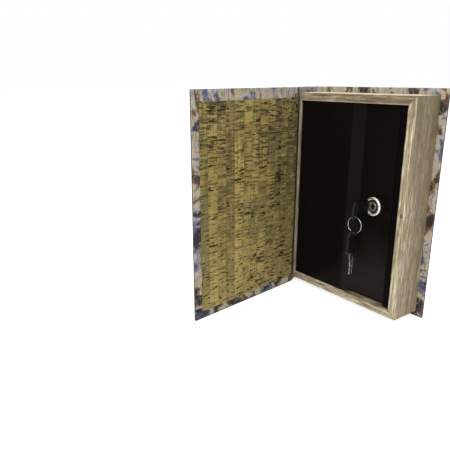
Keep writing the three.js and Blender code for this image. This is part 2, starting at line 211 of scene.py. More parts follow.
def cork_material():
    """Cork veneer paper: upright strips in blocks of olive and tan, level growth lines and dark lenticels."""
    m = Mat("cork_paper", rough=0.8)
    m.b.inputs["Specular IOR Level"].default_value = 0.2
    u, w, z = m.sep(m.mm())
    wob = m.noise(m.comb(m.f("MULTIPLY", u, 0.035), 0.0, m.f("MULTIPLY", z, 0.002)), 1.0, 2, 0.5)
    strip_pos = m.f("DIVIDE", m.f("ADD", u, m.f("MULTIPLY", wob, 16.0)), 13.4)
    strip = m.f("FLOOR", strip_pos)
    frac = m.f("FRACT", strip_pos)
    rnd = m.white(m.comb(strip, 3.0, 7.0))
    block = m.f("FLOOR", m.f("ADD", m.f("DIVIDE", z, 60.0), m.f("MULTIPLY", rnd, 9.0)))
    tone = m.white(m.comb(strip, block, 1.5))
    base = m.ramp(tone, [(0.0, col(92, 84, 59)), (0.14, col(106, 94, 61)), (0.31, col(124, 107, 62)), (0.50, col(136, 118, 70)),
                         (0.67, col(112, 101, 69)), (0.79, col(148, 129, 78)), (0.90, col(164, 144, 88))], "CONSTANT")
    stripe = m.white(m.comb(strip, 11.0, 2.5))
    base = m.mix(m.step(stripe, 0.40, 0.30, 0.0, 0.42), base, col(82, 73, 50))
    base = m.mix(m.step(stripe, 0.72, 0.80, 0.0, 0.48), base, col(172, 150, 86))
    off = m.f("MULTIPLY", rnd, 60.0)
    zo = m.f("ADD", z, off)
    region = m.noise(m.comb(m.f("MULTIPLY", u, 0.022), 8.0, m.f("MULTIPLY", z, 0.016)), 1.0, 2, 0.5)
    base = m.mix(m.step(region, 0.36, 0.62, 0.0, 0.12), base, col(128, 111, 64))
    cloud = m.noise(m.comb(m.f("MULTIPLY", u, 0.07), off, m.f("MULTIPLY", zo, 0.040)), 1.0, 3, 0.55)
    base = m.mix(m.step(cloud, 0.54, 0.72, 0.0, 0.60), base, col(64, 58, 42))
    base = m.mix(m.step(cloud, 0.46, 0.30, 0.0, 0.60), base, col(160, 140, 84))
    # fine upright threads and level growth lines
    thread = m.noise(m.comb(m.f("MULTIPLY", u, 0.75), 0.0, m.f("MULTIPLY", zo, 0.012)), 1.0, 2, 0.6)
    base = m.mix(m.step(thread, 0.48, 0.62, 0.0, 0.55), base, col(70, 61, 36))
    base = m.mix(m.step(thread, 0.44, 0.32, 0.0, 0.35), base, col(166, 148, 90))
    lap = m.f("ADD", z, m.f("MULTIPLY", m.noise(m.comb(m.f("MULTIPLY", u, 0.03), 1.0, m.f("MULTIPLY", z, 0.02)), 1.0, 1, 0.5), 5.0))
    line = m.noise(m.comb(m.f("MULTIPLY", u, 0.050), off, m.f("MULTIPLY", m.f("ADD", lap, off), 0.36)), 1.0, 4, 0.6, 0.10)
    base = m.mix(m.step(line, 0.52, 0.59, 0.0, 0.78), base, col(58, 48, 26))
    base = m.mix(m.step(line, 0.45, 0.34, 0.0, 0.50), base, col(166, 147, 88))
    grain = m.noise(m.comb(m.f("MULTIPLY", u, 0.8), off, m.f("MULTIPLY", zo, 1.3)), 1.0, 3, 0.65)
    base = m.mix(m.step(grain, 0.42, 0.66, 0.0, 0.22), base, col(66, 56, 30))
    # painted light: paler towards the foot of the sheet
    base = m.mix(m.step(z, 190.0, 25.0, 0.0, 0.30), base, col(172, 152, 94))
    # dark lenticels: level dashes of three lengths, in clusters
    cluster = m.noise(m.comb(m.f("MULTIPLY", u, 0.05), 4.0, m.f("MULTIPLY", zo, 0.045)), 1.0, 2, 0.5)
    lift = m.f("ADD", m.f("MULTIPLY", m.f("SUBTRACT", cluster, 0.5), 0.34), m.step(z, 130.0, 30.0, 0.0, 0.022))
    dash = None
    for fu, fz, seed, lo, k in ((0.050, 0.46, 20.0, 0.640, 1.0), (0.10, 0.56, 50.0, 0.652, 1.0), (0.24, 0.72, 90.0, 0.672, 0.9)):
        d = m.noise(m.comb(m.f("MULTIPLY", u, fu), m.f("ADD", off, seed), m.f("MULTIPLY", m.f("ADD", lap, off), fz)), 1.0, 2, 0.45, 0.06)
        d = m.f("ADD", d, lift)
        d = m.f("MULTIPLY", m.f("ADD", m.step(d, lo, lo + 0.024, 0.0, 0.72), m.step(d, lo - 0.040, lo, 0.0, 0.28)), k)
        dash = d if dash is None else m.f("MAXIMUM", dash, d)
    base = m.mix(m.f("MULTIPLY", dash, 0.95), base, col(30, 22, 10))
    seam = m.f("MULTIPLY", m.step(m.f("ABSOLUTE", m.f("SUBTRACT", frac, 0.5)), 0.455, 0.497), 0.30)
    base = m.mix(seam, base, col(56, 48, 28))
    base = m.mix(1.0, base, (0.860, 0.866, 0.780, 1.0), "MULTIPLY")
    m.set("Base Color", base)
    m.set("Roughness", m.step(dash, 0.0, 1.0, 0.74, 0.92))
    h = m.f("SUBTRACT", m.f("ADD", m.f("MULTIPLY", grain, 0.5), m.f("MULTIPLY", line, 0.4)), m.f("ADD", dash, seam))
    m.bump(h, 0.40, 0.20)
    return m.m


def wood_material(name, along, shade, light=0.0, spread=0.20, gain=1.0, hairs=0.45):
    """Greyed oak foil. along is the axis the grain runs on; shade darkens its broad bands, light paints light or shade
    into the
    whole tone: above 0 a paler copy for a face that catches more light, below 0 a darker copy for a member in shade.
    spread is how far the streaks run from dark to pale."""
    m = Mat(name, rough=0.55)
    m.b.inputs["Specular IOR Level"].default_value = 0.25
    p = m.mm()
    x, y, z = m.sep(p)

    def grain(short, far):
        return m.scaled(p, *{"x": (far, short, short), "z": (short, short, far)}[along])

    bend = m.noise(grain(0.05, 0.012), 1.0, 2, 0.5)
    wob = m.f("MULTIPLY", bend, 0.9)
    wob = m.comb(wob, wob, wob)
    streak = m.noise(m.v("ADD", grain(0.50, 0.034), wob), 1.0, 4, 0.70)
    broad = m.noise(m.v("ADD", grain(0.085, 0.005), wob), 1.0, 2, 0.5)
    pores = m.noise(grain(1.0, 0.085), 1.0, 2, 0.6)
    tint = m.noise(grain(0.10, 0.020), 1.0, 2, 0.5)
    base = m.ramp(streak, [(0.50 - spread, col(70, 58, 42)), (0.50 - spread / 2, col(104, 91, 71)), (0.49, col(130, 117, 95)), (0.50 + spread * 0.4, col(156, 144, 119)), (0.50 + spread, col(198, 188, 160))])
    base = m.mix(m.step(broad, 0.44, 0.66, 0.0, shade), base, col(92, 79, 61))
    base = m.mix(m.step(broad, 0.46, 0.32, 0.0, 0.50), base, col(172, 162, 136))
    base = m.mix(m.step(tint, 0.50, 0.66, 0.0, 0.35), base, col(126, 117, 80))
    base = m.mix(m.step(tint, 0.45, 0.30, 0.0, 0.22), base, col(158, 132, 112))
    base = m.mix(m.step(pores, 0.50, 0.62, 0.0, 0.55), base, col(66, 54, 38))
    # painted highlight: a pale band along the lower inner edge of the top member
    if along == "x":
        base = m.mix(m.f("MULTIPLY", m.step(z, 250.0, 248.9, 0.0, 0.50), m.step(z, 100.0, 200.0)), base, col(206, 196, 166))
    # painted shade: below 0 the whole tone is darkened, a shaded copy for a member in shade
    if light < 0:
        base = m.mix(-light, base, col(74, 69, 61))
    # painted light: above 0 the whole tone is made paler, a lit copy for a face that catches more light; the flecks are
    # grain
    elif light > 0:
        base = m.mix(light, base, col(186, 174, 146))
        fleck = m.noise(grain(0.7, 0.016), 1.0, 2, 0.5)
        base = m.mix(m.step(fleck, 0.54, 0.64, 0.0, 0.60), base, col(104, 88, 64))
        base = m.mix(m.step(fleck, 0.44, 0.36, 0.0, 0.50), base, col(214, 206, 182))
    else:
        # painted shade: darker towards the top
        base = m.mix(m.step(z, 100.0, 240.0, 0.0, 0.50), base, col(82, 70, 54))
    hair = m.noise(grain(1.4, 0.070), 1.0, 1, 0.5)
    base = m.mix(m.step(hair, 0.50, 0.62, 0.0, hairs), base, col(92, 76, 52))
    if gain != 1.0:
        base = m.mix(1.0, base, (gain, gain, gain, 1.0), "MULTIPLY")
    m.set("Base Color", base)
    m.set("Roughness", m.step(pores, 0.4, 0.7, 0.5, 0.72))
    m.bump(m.f("SUBTRACT", m.f("MULTIPLY", streak, 0.5), pores), 0.30, 0.12)
    return m.m


def marbled_material(name, shift, worn=0.0):
    """Marbled lining paper: pale clouds with slate blue, near black, ochre and dull red, laid by noise alone. shift moves the
    pattern, worn dulls its sheen towards the foot."""
    m = Mat(name, rough=0.45)
    m.b.inputs["Specular IOR Level"].default_value = 0.25
    here = m.mm()
    u, w, z = m.sep(here)
    p = m.v("ADD", here, (shift, 0.0, 2.0 * shift))
    warp = m.noise(m.scaled(p, 0.045, 0.045, 0.045), 1.0, 3, 0.55, 0.8)
    cloud = m.noise(m.scaled(p, 0.019, 0.019, 0.019), 1.0, 3, 0.5, 1.6)
    zone = m.ramp(cloud, [(at, col(*c)) for at, c in MARBLE])
    swirl = m.noise(m.v("ADD", m.scaled(p, 0.10, 0.10, 0.10), m.comb(warp, warp, warp)), 1.0, 4, 0.6, 1.6)
    zone = m.mix(m.step(swirl, 0.56, 0.72, 0.0, 0.45), zone, col(196, 188, 174))
    zone = m.mix(m.step(swirl, 0.44, 0.30, 0.0, 0.55), zone, col(34, 30, 32))
    # combed waves: thin dark lines that run up the sheet, in groups
    wave = m.f("SINE", m.f("ADD", m.f("MULTIPLY", u, 1.1), m.f("MULTIPLY", warp, 26.0)))
    width = m.step(m.noise(m.scaled(p, 0.050, 0.050, 0.050), 1.0, 3, 0.55), 0.36, 0.60, 1.02, 0.45)
    stroke = m.step(wave, width, m.f("ADD", width, 0.30))
    zone = m.mix(m.f("MULTIPLY", stroke, 0.50), zone, col(34, 28, 28))
    pale = m.f("ABSOLUTE", m.f("SUBTRACT", m.noise(m.scaled(p, 0.07, 0.07, 0.07), 1.0, 2, 0.5, 0.8), 0.5))
    zone = m.mix(m.step(pale, 0.010, 0.003, 0.0, 0.35), zone, col(178, 172, 158))
    # painted shade: dark olive inside the joint, below the head, and a dark line along the foot edge
    zone = m.mix(m.f("MULTIPLY", m.step(u, 3.6, 1.6, 0.0, 0.92), m.step(z, 254.5, 251.5)), zone, col(58, 52, 30))
    zone = m.mix(m.step(z, 2.0, 1.1, 0.0, 0.80), zone, col(44, 40, 30))
    spot = m.cells(m.scaled(p, 0.42, 0.42, 0.42), 1.0)
    zone = m.mix(m.step(spot, 0.16, 0.08, 0.0, 0.25), zone, col(160, 152, 142))
    m.set("Base Color", zone)
    if worn:
        m.set("Specular IOR Level", m.f("MULTIPLY", m.f("SUBTRACT", 1.0, m.step(z, 120.0, 50.0, 0.0, worn)), 0.25))
    fib = m.noise(m.scaled(p, 1.2, 1.2, 1.2), 1.0, 3, 0.6)
    m.set("Roughness", m.step(fib, 0.3, 0.7, 0.38, 0.55))
    m.bump(fib, 0.08, 0.1)
    return m.m


def cover_material(name, x0, x1, z0, z1, flat=True):
    """Outside of the covers: aged parchment in a burnt, dark brown border, with a plain lozenge ornament."""
    m = Mat(name, rough=0.4)
    m.b.inputs["Specular IOR Level"].default_value = 0.20
    p = m.mm()
    u, w, z = m.sep(p)
    cx, cz = (x0 + x1) / 2, (z0 + z1) / 2
    hx, hz = (x1 - x0) / 2, (z1 - z0) / 2
    x = m.f("SUBTRACT", u, cx)
    y = m.f("SUBTRACT", z, cz)
    dx = m.f("SUBTRACT", hx, m.f("ABSOLUTE", x))
    dz = m.f("SUBTRACT", hz, m.f("ABSOLUTE", y))
    d = m.f("SMOOTH_MIN", dx, dz, 9.0)
    n1 = m.noise(m.scaled(p, 0.035, 0.035, 0.035), 1.0, 5, 0.62, 0.6)
    n2 = m.noise(m.scaled(p, 0.16, 0.16, 0.16), 1.0, 4, 0.65, 0.3)
    n3 = m.noise(m.scaled(p, 0.9, 0.9, 0.9), 1.0, 3, 0.6)
    base = m.ramp(n1, [(0.28, col(124, 70, 32)), (0.42, col(160, 100, 52)), (0.54, col(184, 124, 72)), (0.68, col(202, 146, 90))])
    base = m.mix(m.step(n2, 0.48, 0.68, 0.0, 0.60), base, col(104, 56, 26))
    base = m.mix(m.step(n3, 0.52, 0.72, 0.0, 0.28), base, col(92, 50, 22))
    # cracked vein lines of old hide
    crack = m.cells(m.v("ADD", m.scaled(p, 0.055, 0.055, 0.055), m.comb(m.f("MULTIPLY", n2, 0.7), 0.0, m.f("MULTIPLY", n2, 0.7))), 1.0, "DISTANCE_TO_EDGE")
    base = m.mix(m.step(crack, 0.030, 0.006, 0.0, 0.62), base, col(70, 36, 16))
    crack2 = m.cells(m.v("ADD", m.scaled(p, 0.16, 0.16, 0.16), m.comb(m.f("MULTIPLY", n2, 0.9), 5.0, m.f("MULTIPLY", n2, 0.9))), 1.0, "DISTANCE_TO_EDGE")
    base = m.mix(m.step(crack2, 0.030, 0.004, 0.0, 0.30), base, col(84, 44, 20))
    # ornament: nested lozenges, a petalled rosette, corner fans
    ink = col(44, 23, 10)
    loz = m.f("ADD", m.f("DIVIDE", m.f("ABSOLUTE", x), hx * 0.70), m.f("DIVIDE", m.f("ABSOLUTE", y), hz * 0.66))

    def band(value, at, half, soft):
        return m.step(m.f("ABSOLUTE", m.f("SUBTRACT", value, at)), half + soft, half)

    orn = m.f("MAXIMUM", band(loz, 1.0, 0.012, 0.008), band(loz, 0.945, 0.005, 0.006))
    orn = m.f("MAXIMUM", orn, band(loz, 0.60, 0.008, 0.008))
    r = m.f("SQRT", m.f("ADD", m.f("MULTIPLY", x, x), m.f("MULTIPLY", y, y)))
    th = m.f("ARCTAN2", y, x)
    pet = m.f("MULTIPLY", m.f("ABSOLUTE", m.f("SINE", m.f("MULTIPLY", th, 4.0))), 9.0)
    rose = m.f("SUBTRACT", r, pet)
    orn = m.f("MAXIMUM", orn, band(rose, 16.0, 0.8, 0.6))
    orn = m.f("MAXIMUM", orn, band(rose, 9.0, 0.5, 0.5))
    orn = m.f("MAXIMUM", orn, band(r, 34.0, 0.7, 0.5))
    orn = m.f("MAXIMUM", orn, band(r, 31.5, 0.3, 0.4))
    orn = m.f("MAXIMUM", orn, m.step(r, 4.2, 3.4))
    # ring of beads around the rosette
    beads = m.f("MULTIPLY", band(r, 28.6, 1.1, 0.4), m.step(m.f("ABSOLUTE", m.f("SINE", m.f("MULTIPLY", th, 18.0))), 0.55, 0.8))
    orn = m.f("MAXIMUM", orn, beads)
    # ground of the rosette, cross-hatched ground of the lozenge
    ground = m.f("MULTIPLY", m.step(rose, 15.6, 16.4), m.step(r, 26.8, 26.0))
    orn = m.f("MAXIMUM", orn, m.f("MULTIPLY", ground, 0.80))
    h1 = m.f("ABSOLUTE", m.f("SINE", m.f("MULTIPLY", m.f("ADD", x, m.f("MULTIPLY", y, 0.56)), 0.80)))
    h2 = m.f("ABSOLUTE", m.f("SINE", m.f("MULTIPLY", m.f("SUBTRACT", x, m.f("MULTIPLY", y, 0.56)), 0.80)))
    hatch = m.f("MAXIMUM", m.step(h1, 0.20, 0.06), m.step(h2, 0.20, 0.06))
    ring_out = m.f("MULTIPLY", m.step(loz, 0.915, 0.905), m.f("MULTIPLY", m.step(loz, 0.625, 0.635), m.step(r, 35.0, 35.6)))
    orn = m.f("MAXIMUM", orn, m.f("MULTIPLY", m.f("MULTIPLY", hatch, ring_out), 0.72))
    # corner fans
    fx = m.f("SUBTRACT", hx - 15.0, m.f("ABSOLUTE", x))
    fz = m.f("SUBTRACT", hz - 15.0, m.f("ABSOLUTE", y))
    fr = m.f("SQRT", m.f("ADD", m.f("MULTIPLY", fx, fx), m.f("MULTIPLY", fz, fz)))
    fth = m.f("ARCTAN2", fz, fx)
    inside = m.f("MULTIPLY", m.step(fx, -0.2, 0.2), m.step(fz, -0.2, 0.2))
    fan = m.f("MAXIMUM", band(fr, 30.0, 0.8, 0.6), band(fr, 12.0, 0.6, 0.6))
    ribs = m.f("MULTIPLY", m.step(m.f("ABSOLUTE", m.f("SINE", m.f("MULTIPLY", fth, 9.0))), 0.16, 0.05),
               m.f("MULTIPLY", m.step(fr, 12.0, 12.6), m.step(fr, 30.0, 29.4)))
    scal = m.f("ADD", fr, m.f("MULTIPLY", m.f("ABSOLUTE", m.f("SINE", m.f("MULTIPLY", fth, 9.0))), -3.0))
    fan = m.f("MAXIMUM", m.f("MAXIMUM", fan, ribs), band(scal, 31.5, 0.4, 0.5))
    orn = m.f("MAXIMUM", orn, m.f("MULTIPLY", fan, inside))
    worn = m.step(n2, 0.30, 0.52, 0.25, 1.0)
    base = m.mix(m.f("MULTIPLY", m.f("MULTIPLY", orn, worn), 0.80), base, ink)
    # shaded field inside the lozenge and behind the fans
    base = m.mix(m.f("MULTIPLY", m.step(loz, 1.0, 0.4), m.step(n2, 0.36, 0.62, 0.10, 0.36)), base, col(92, 50, 23))
    base = m.mix(m.f("MULTIPLY", m.f("MULTIPLY", m.step(fr, 30.0, 12.0, 0.15, 0.62), inside), m.step(fr, 30.2, 29.8)), base, col(56, 29, 13))
    # burnt vignette towards the border, then ruled lines on the dark border
    burn = m.f("ADD", d, m.f("MULTIPLY", m.f("SUBTRACT", n1, 0.5), 34.0))
    burn = m.f("ADD", burn, m.f("MULTIPLY", m.f("SUBTRACT", n2, 0.5), 9.0))
    base = m.mix(m.step(burn, 37.0, 11.0, 0.0, 0.90), base, col(52, 27, 14))
    base = m.mix(m.step(burn, 20.0, 9.0, 0.0, 0.88), base, col(24, 13, 9))
    dd = m.f("MINIMUM", dx, dz)
    edge = m.mix(m.step(n3, 0.35, 0.65), col(24, 13, 9), col(44, 24, 17))
    base = m.mix(m.step(dd, 10.6, 10.0), base, edge)
    worn_rule = m.step(n2, 0.30, 0.55, 0.35, 0.95)
    base = m.mix(m.f("MULTIPLY", band(dd, 5.7, 1.0, 0.3), m.f("MULTIPLY", worn_rule, 0.75)), base, col(92, 42, 25))
    rule = m.f("MAXIMUM", band(dd, 9.6, 0.22, 0.2), band(dd, 3.3, 0.20, 0.2))
    base = m.mix(m.f("MULTIPLY", rule, m.f("MULTIPLY", worn_rule, 0.9)), base, col(166, 112, 74))
    # rubbed edges
    rub = m.f("MULTIPLY", m.step(dd, 0.7, 0.1), m.step(n3, 0.46, 0.62))
    base = m.mix(m.f("MULTIPLY", rub, 0.35), base, col(112, 80, 56))
    m.set("Base Color", base)
    m.set("Roughness", m.step(n3, 0.3, 0.7, 0.32, 0.52))
    m.bump(m.f("ADD", n3, m.f("MULTIPLY", crack, 0.4)), 0.16, 0.12)
    return m.m


def spine_material(bands):
    """Outside of the spine: brown hide panels between dark, ruled raised bands."""
    m = Mat("spine_hide", rough=0.4)
    m.b.inputs["Specular IOR Level"].default_value = 0.22
    p = m.mm()
    x, y, z = m.sep(p)
    n1 = m.noise(m.scaled(p, 0.05, 0.05, 0.05), 1.0, 5, 0.62, 0.5)
    n2 = m.noise(m.scaled(p, 0.18, 0.18, 0.18), 1.0, 4, 0.65, 0.3)
    n3 = m.noise(m.scaled(p, 0.9, 0.9, 0.9), 1.0, 3, 0.6)
    base = m.ramp(n1, [(0.28, col(98, 54, 32)), (0.45, col(142, 88, 54)), (0.60, col(176, 118, 78)), (0.74, col(196, 142, 98))])
    base = m.mix(m.step(n2, 0.46, 0.68, 0.0, 0.60), base, col(88, 50, 26))
    base = m.mix(m.step(n3, 0.50, 0.72, 0.0, 0.35), base, col(62, 35, 19))
    side = m.f("ABSOLUTE", m.f("SUBTRACT", y, 21.0))

    def band(value, at, half, soft):
        return m.step(m.f("ABSOLUTE", m.f("SUBTRACT", value, at)), half + soft, half)

    dark = None
    gold = None
    for b in bands:
        k = band(z, b, 3.0, 1.6)
        dark = k if dark is None else m.f("MAXIMUM", dark, k)
        dist = m.f("ABSOLUTE", m.f("SUBTRACT", z, b))
        g = m.f("MAXIMUM", band(dist, 5.6, 0.35, 0.3), band(dist, 0.0, 0.5, 0.5))
        gold = g if gold is None else m.f("MAXIMUM", gold, g)
    # plain lozenge in each panel
    for a, b in zip(bands, bands[1:]):
        mid, half = (a + b) / 2, (b - a) / 2 - 9.0
        half = min(half, 24.0)
        q = m.f("ADD", m.f("DIVIDE", m.f("ABSOLUTE", m.f("SUBTRACT", y, 21.0)), 11.0), m.f("DIVIDE", m.f("ABSOLUTE", m.f("SUBTRACT", z, mid)), half))
        gold = m.f("MAXIMUM", gold, m.f("MAXIMUM", band(q, 0.92, 0.035, 0.03), band(q, 0.42, 0.05, 0.04)))
    base = m.mix(m.f("MULTIPLY", dark, 0.82), base, col(44, 25, 15))
    base = m.mix(m.f("MULTIPLY", gold, m.step(n2, 0.32, 0.58, 0.25, 0.80)), base, col(52, 28, 14))
    base = m.mix(m.step(m.f("ADD", side, m.f("MULTIPLY", m.f("SUBTRACT", n2, 0.5), 6.0)), 15.5, 21.5, 0.0, 0.88), base, col(40, 24, 15))
    base = m.mix(m.step(m.f("ADD", z, m.f("MULTIPLY", m.f("SUBTRACT", n1, 0.5), 26.0)), 228.0, 262.0, 0.0, 0.72), base, col(50, 26, 20))
    base = m.mix(m.step(m.f("ADD", z, m.f("MULTIPLY", m.f("SUBTRACT", n1, 0.5), 20.0)), 22.0, 2.0, 0.0, 0.60), base, col(44, 24, 18))
    ends = m.f("MINIMUM", z, m.f("SUBTRACT", COVER_H, z))
    base = m.mix(m.step(ends, 4.0, 0.6, 0.0, 0.6), base, col(48, 29, 18))
    rub = m.f("MULTIPLY", m.step(ends, 1.2, 0.2), m.step(n3, 0.42, 0.6))
    base = m.mix(m.f("MULTIPLY", rub, 0.4), base, col(120, 86, 60))
    m.set("Base Color", base)
    m.set("Roughness", m.step(n3, 0.3, 0.7, 0.34, 0.55))
    m.bump(m.f("ADD", n3, n2), 0.22, 0.15)
    return m.m


def board_material():
    m = Mat("grey_board", rough=0.85)
    p = m.mm()
    n = m.noise(m.scaled(p, 1.4, 1.4, 0.5), 1.0, 4, 0.65)
    m.set("Base Color", m.ramp(n, [(0.3, col(104, 92, 74)), (0.5, col(132, 120, 98)), (0.7, col(152, 140, 118))]))
    m.set("Roughness", m.step(n, 0.3, 0.7, 0.8, 0.95))
    m.bump(n, 0.4, 0.15)
    return m.m


def cloth_material():
    """Dark book cloth on the joints."""
    m = Mat("joint_cloth", rough=0.5)
    m.b.inputs["Specular IOR Level"].default_value = 0.22
    p = m.mm()
    a = m.noise(m.scaled(p, 2.2, 2.2, 0.5), 1.0, 2, 0.5)
    b = m.noise(m.scaled(p, 0.5, 0.5, 2.2), 1.0, 2, 0.5)
    n = m.f("MULTIPLY", m.f("ADD", a, b), 0.5)
    m.set("Base Color", m.ramp(n, [(0.35, col(14, 9, 7)), (0.5, col(26, 17, 12)), (0.65, col(46, 32, 24))]))
    m.set("Roughness", m.step(n, 0.35, 0.65, 0.5, 0.75))
    m.bump(n, 0.4, 0.15)
    return m.m


def powder_material(name, dark, light, rough, shine, painted_sheen_low=None):
    m = Mat(name, rough=rough)
    m.b.inputs["Specular IOR Level"].default_value = shine
    p = m.mm()
    n = m.noise(m.scaled(p, 1.6, 1.6, 1.6), 1.0, 2, 0.5)
    broad = m.noise(m.scaled(p, 0.02, 0.02, 0.02), 1.0, 2, 0.5)
    base = m.mix(broad, dark, light)
    if painted_sheen_low:                                                # painted sheen: paler low down, past the fold
        x, y, z = m.sep(p)
        base = m.mix(m.f("MULTIPLY", m.step(z, 125.0, 30.0, 0.0, 0.8), m.step(x, 80.0, 92.0)), base, painted_sheen_low)
    m.set("Base Color", base)
    m.set("Roughness", m.step(m.f("ADD", n, m.f("MULTIPLY", broad, 0.5)), 0.5, 1.0, rough - 0.05, rough + 0.08))
    m.bump(n, 0.08, 0.05)
    return m.m


def metal_material(name, c0, c1, r0, r1, scratch=(6.0, 0.4, 0.4), bump=0.05):
    m = Mat(name, rough=r0, metal=1.0)
    p = m.mm()
    n = m.noise(m.scaled(p, *scratch), 1.0, 3, 0.6)
    wear = m.noise(m.scaled(p, 0.35, 0.35, 0.35), 1.0, 3, 0.6)
    m.set("Base Color", m.mix(m.step(wear, 0.35, 0.65), c0, c1))
    m.set("Roughness", m.step(m.f("ADD", m.f("MULTIPLY", n, 0.6), m.f("MULTIPLY", wear, 0.4)), 0.35, 0.65, r0, r1))
    m.bump(n, bump, 0.05)
    return m.m


def plastic_material():
    m = Mat("black_plastic", rough=0.32)
    m.b.inputs["Specular IOR Level"].default_value = 0.17
    p = m.mm()
    n = m.noise(m.scaled(p, 1.2, 1.2, 1.2), 1.0, 2, 0.5)
    rub = m.noise(m.scaled(p, 0.3, 0.3, 0.3), 1.0, 3, 0.6)
    m.set("Base Color", m.mix(m.step(rub, 0.4, 0.7), col(5, 5, 7), col(10, 10, 13)))
    m.set("Roughness", m.step(rub, 0.35, 0.7, 0.28, 0.40))
    m.bump(n, 0.02, 0.03)
    return m.m


# colours of the marbled lining, along its cloud noise
MARBLE = [(0.38, (26, 24, 30)), (0.44, (74, 79, 100)), (0.475, (142, 134, 126)), (0.55, (144, 134, 108)), (0.59, (84, 52, 46)), (0.64, (38, 36, 32))]
BANDS = [10.0, 52.0, 114.0, 196.0, 233.0]
MAT = {
    "cork": cork_material(),
    "wood_z": wood_material("oak_foil_upright", "z", 0.64, 0.0, 0.24, 1.04, 0.46),
    "wood_x": wood_material("oak_foil_level", "x", 0.62, 0.0, 0.11, 0.93),
    # painted light and shade: the next three are copies of the same foil, lit ones for the front face of the right
    # member and the top face of the top member, a shaded one for the left member
    "wood_front_painted_light": wood_material("oak_foil_front_edge_painted_light", "z", 0.45, 0.06, 0.16, 1.05),
    "wood_top_painted_light": wood_material("oak_foil_top_face_painted_light", "x", 0.10, 0.72, 0.12, 1.34, 0.15),
    "wood_left_painted_shade": wood_material("oak_foil_left_painted_shade", "z", 0.40, -0.45, 0.18, 1.08, 0.2),
    "lining": marbled_material("lining_front", 0.0, 0.65),
    "lining_back": marbled_material("lining_back", 37.0),
    "front": cover_material("cover_front_print", 6.8, 176.2, 0.0, COVER_H),
    "back": cover_material("cover_back_print", 6.0, 175.8, 0.0, COVER_H),
    "spine": spine_material(BANDS),
    "board": board_material(),
    "cloth": cloth_material(),
    "door": powder_material("door_powder_coat", col(9, 6, 5), col(12, 9, 8), 0.20, 0.032, col(27, 24, 22)),
    "box": powder_material("box_powder_coat", col(2, 2, 2), col(4, 4, 4), 0.45, 0.03),
    "chrome": metal_material("chrome_plate", col(214, 213, 209), col(196, 196, 194), 0.16, 0.26, (0.5, 0.5, 0.5), 0.02),
    # painted shade: a dark metal laid where shade falls in the lock's recesses
    "recess_painted_shade": metal_material("shaded_recess", col(40, 38, 32), col(28, 26, 22), 0.45, 0.60, (1.0, 1.0, 1.0), 0.03),
    "core": metal_material("core_nickel", col(138, 136, 128), col(112, 110, 103), 0.26, 0.40, (1.5, 1.5, 1.5), 0.05),
    "zinc": metal_material("zinc_plate", col(176, 175, 172), col(150, 150, 150), 0.25, 0.42, (0.8, 0.8, 0.8), 0.05),
    "key": metal_material("key_nickel", col(156, 154, 148), col(128, 126, 120), 0.17, 0.29, (0.4, 4.0, 0.4), 0.05),
    "ring": metal_material("ring_steel", col(168, 167, 162), col(140, 139, 135), 0.14, 0.28, (0.6, 0.6, 0.6), 0.03),
    "magnet": metal_material("dull_nickel", col(126, 116, 108), col(98, 90, 84), 0.40, 0.55, (1.2, 1.2, 1.2), 0.05),
    "plastic": plastic_material(),
}


# ---------------------------------------------------------------------------
# meshes
# ---------------------------------------------------------------------------
def finish_mesh(obj, bevel=0.0, segments=2, angle=32.0, smooth=True):
    if bevel:
        b = obj.modifiers.new("edges", "BEVEL")
        b.width = bevel * MM
        b.segments = segments
        b.limit_method = "ANGLE"
        b.angle_limit = math.radians(angle)
        b.use_clamp_overlap = True
    if smooth:
        obj.data.polygons.foreach_set("use_smooth", [True] * len(obj.data.polygons))
        w = obj.modifiers.new("normals", "WEIGHTED_NORMAL")
        w.keep_sharp = True
        w.weight = 80
    return obj


def add(name, verts, faces, mats, matrix=SHIFT, pick=None):
    """A mesh object from millimetre vertices. pick(face centre, normal) gives the material index."""
    me = bpy.data.meshes.new(name)
    me.from_pydata([(v[0] * MM, v[1] * MM, v[2] * MM) for v in verts], [], faces)
    me.update()
    bm = bmesh.new()
    bm.from_mesh(me)
    bmesh.ops.recalc_face_normals(bm, faces=bm.faces)
    if bm.calc_volume() < 0:
        bmesh.ops.reverse_faces(bm, faces=bm.faces)
    bm.to_mesh(me)
    bm.free()
    for k in mats:
        me.materials.append(MAT[k])
    if pick:
        for poly in me.polygons:
            poly.material_index = pick(poly.center / MM, poly.normal)
    obj = bpy.data.objects.new(name, me)
    bpy.context.scene.collection.objects.link(obj)
    obj.matrix_world = matrix
    return obj


def prism(name, outline, z0, z1, mats, matrix=SHIFT, axis="z", pick=None, cuts=()):
    """outline carried along an axis. For axis z it is in x, y; for axis y it is in x, z. cuts are more stations along it."""
    n = len(outline)
    stations = [z0, *cuts, z1]
    verts, faces = [], []
    for s in stations:
        for a, b in outline:
            verts.append((a, b, s) if axis == "z" else (a, s, b))
    for k in range(len(stations) - 1):
        o = k * n
        for i in range(n):
            j = (i + 1) % n
            faces.append((o + i, o + j, o + n + j, o + n + i))
    faces.append(tuple(range(n)))
    o = (len(stations) - 1) * n
    faces.append(tuple(range(o, o + n)))
    return add(name, verts, faces, mats, matrix, pick)


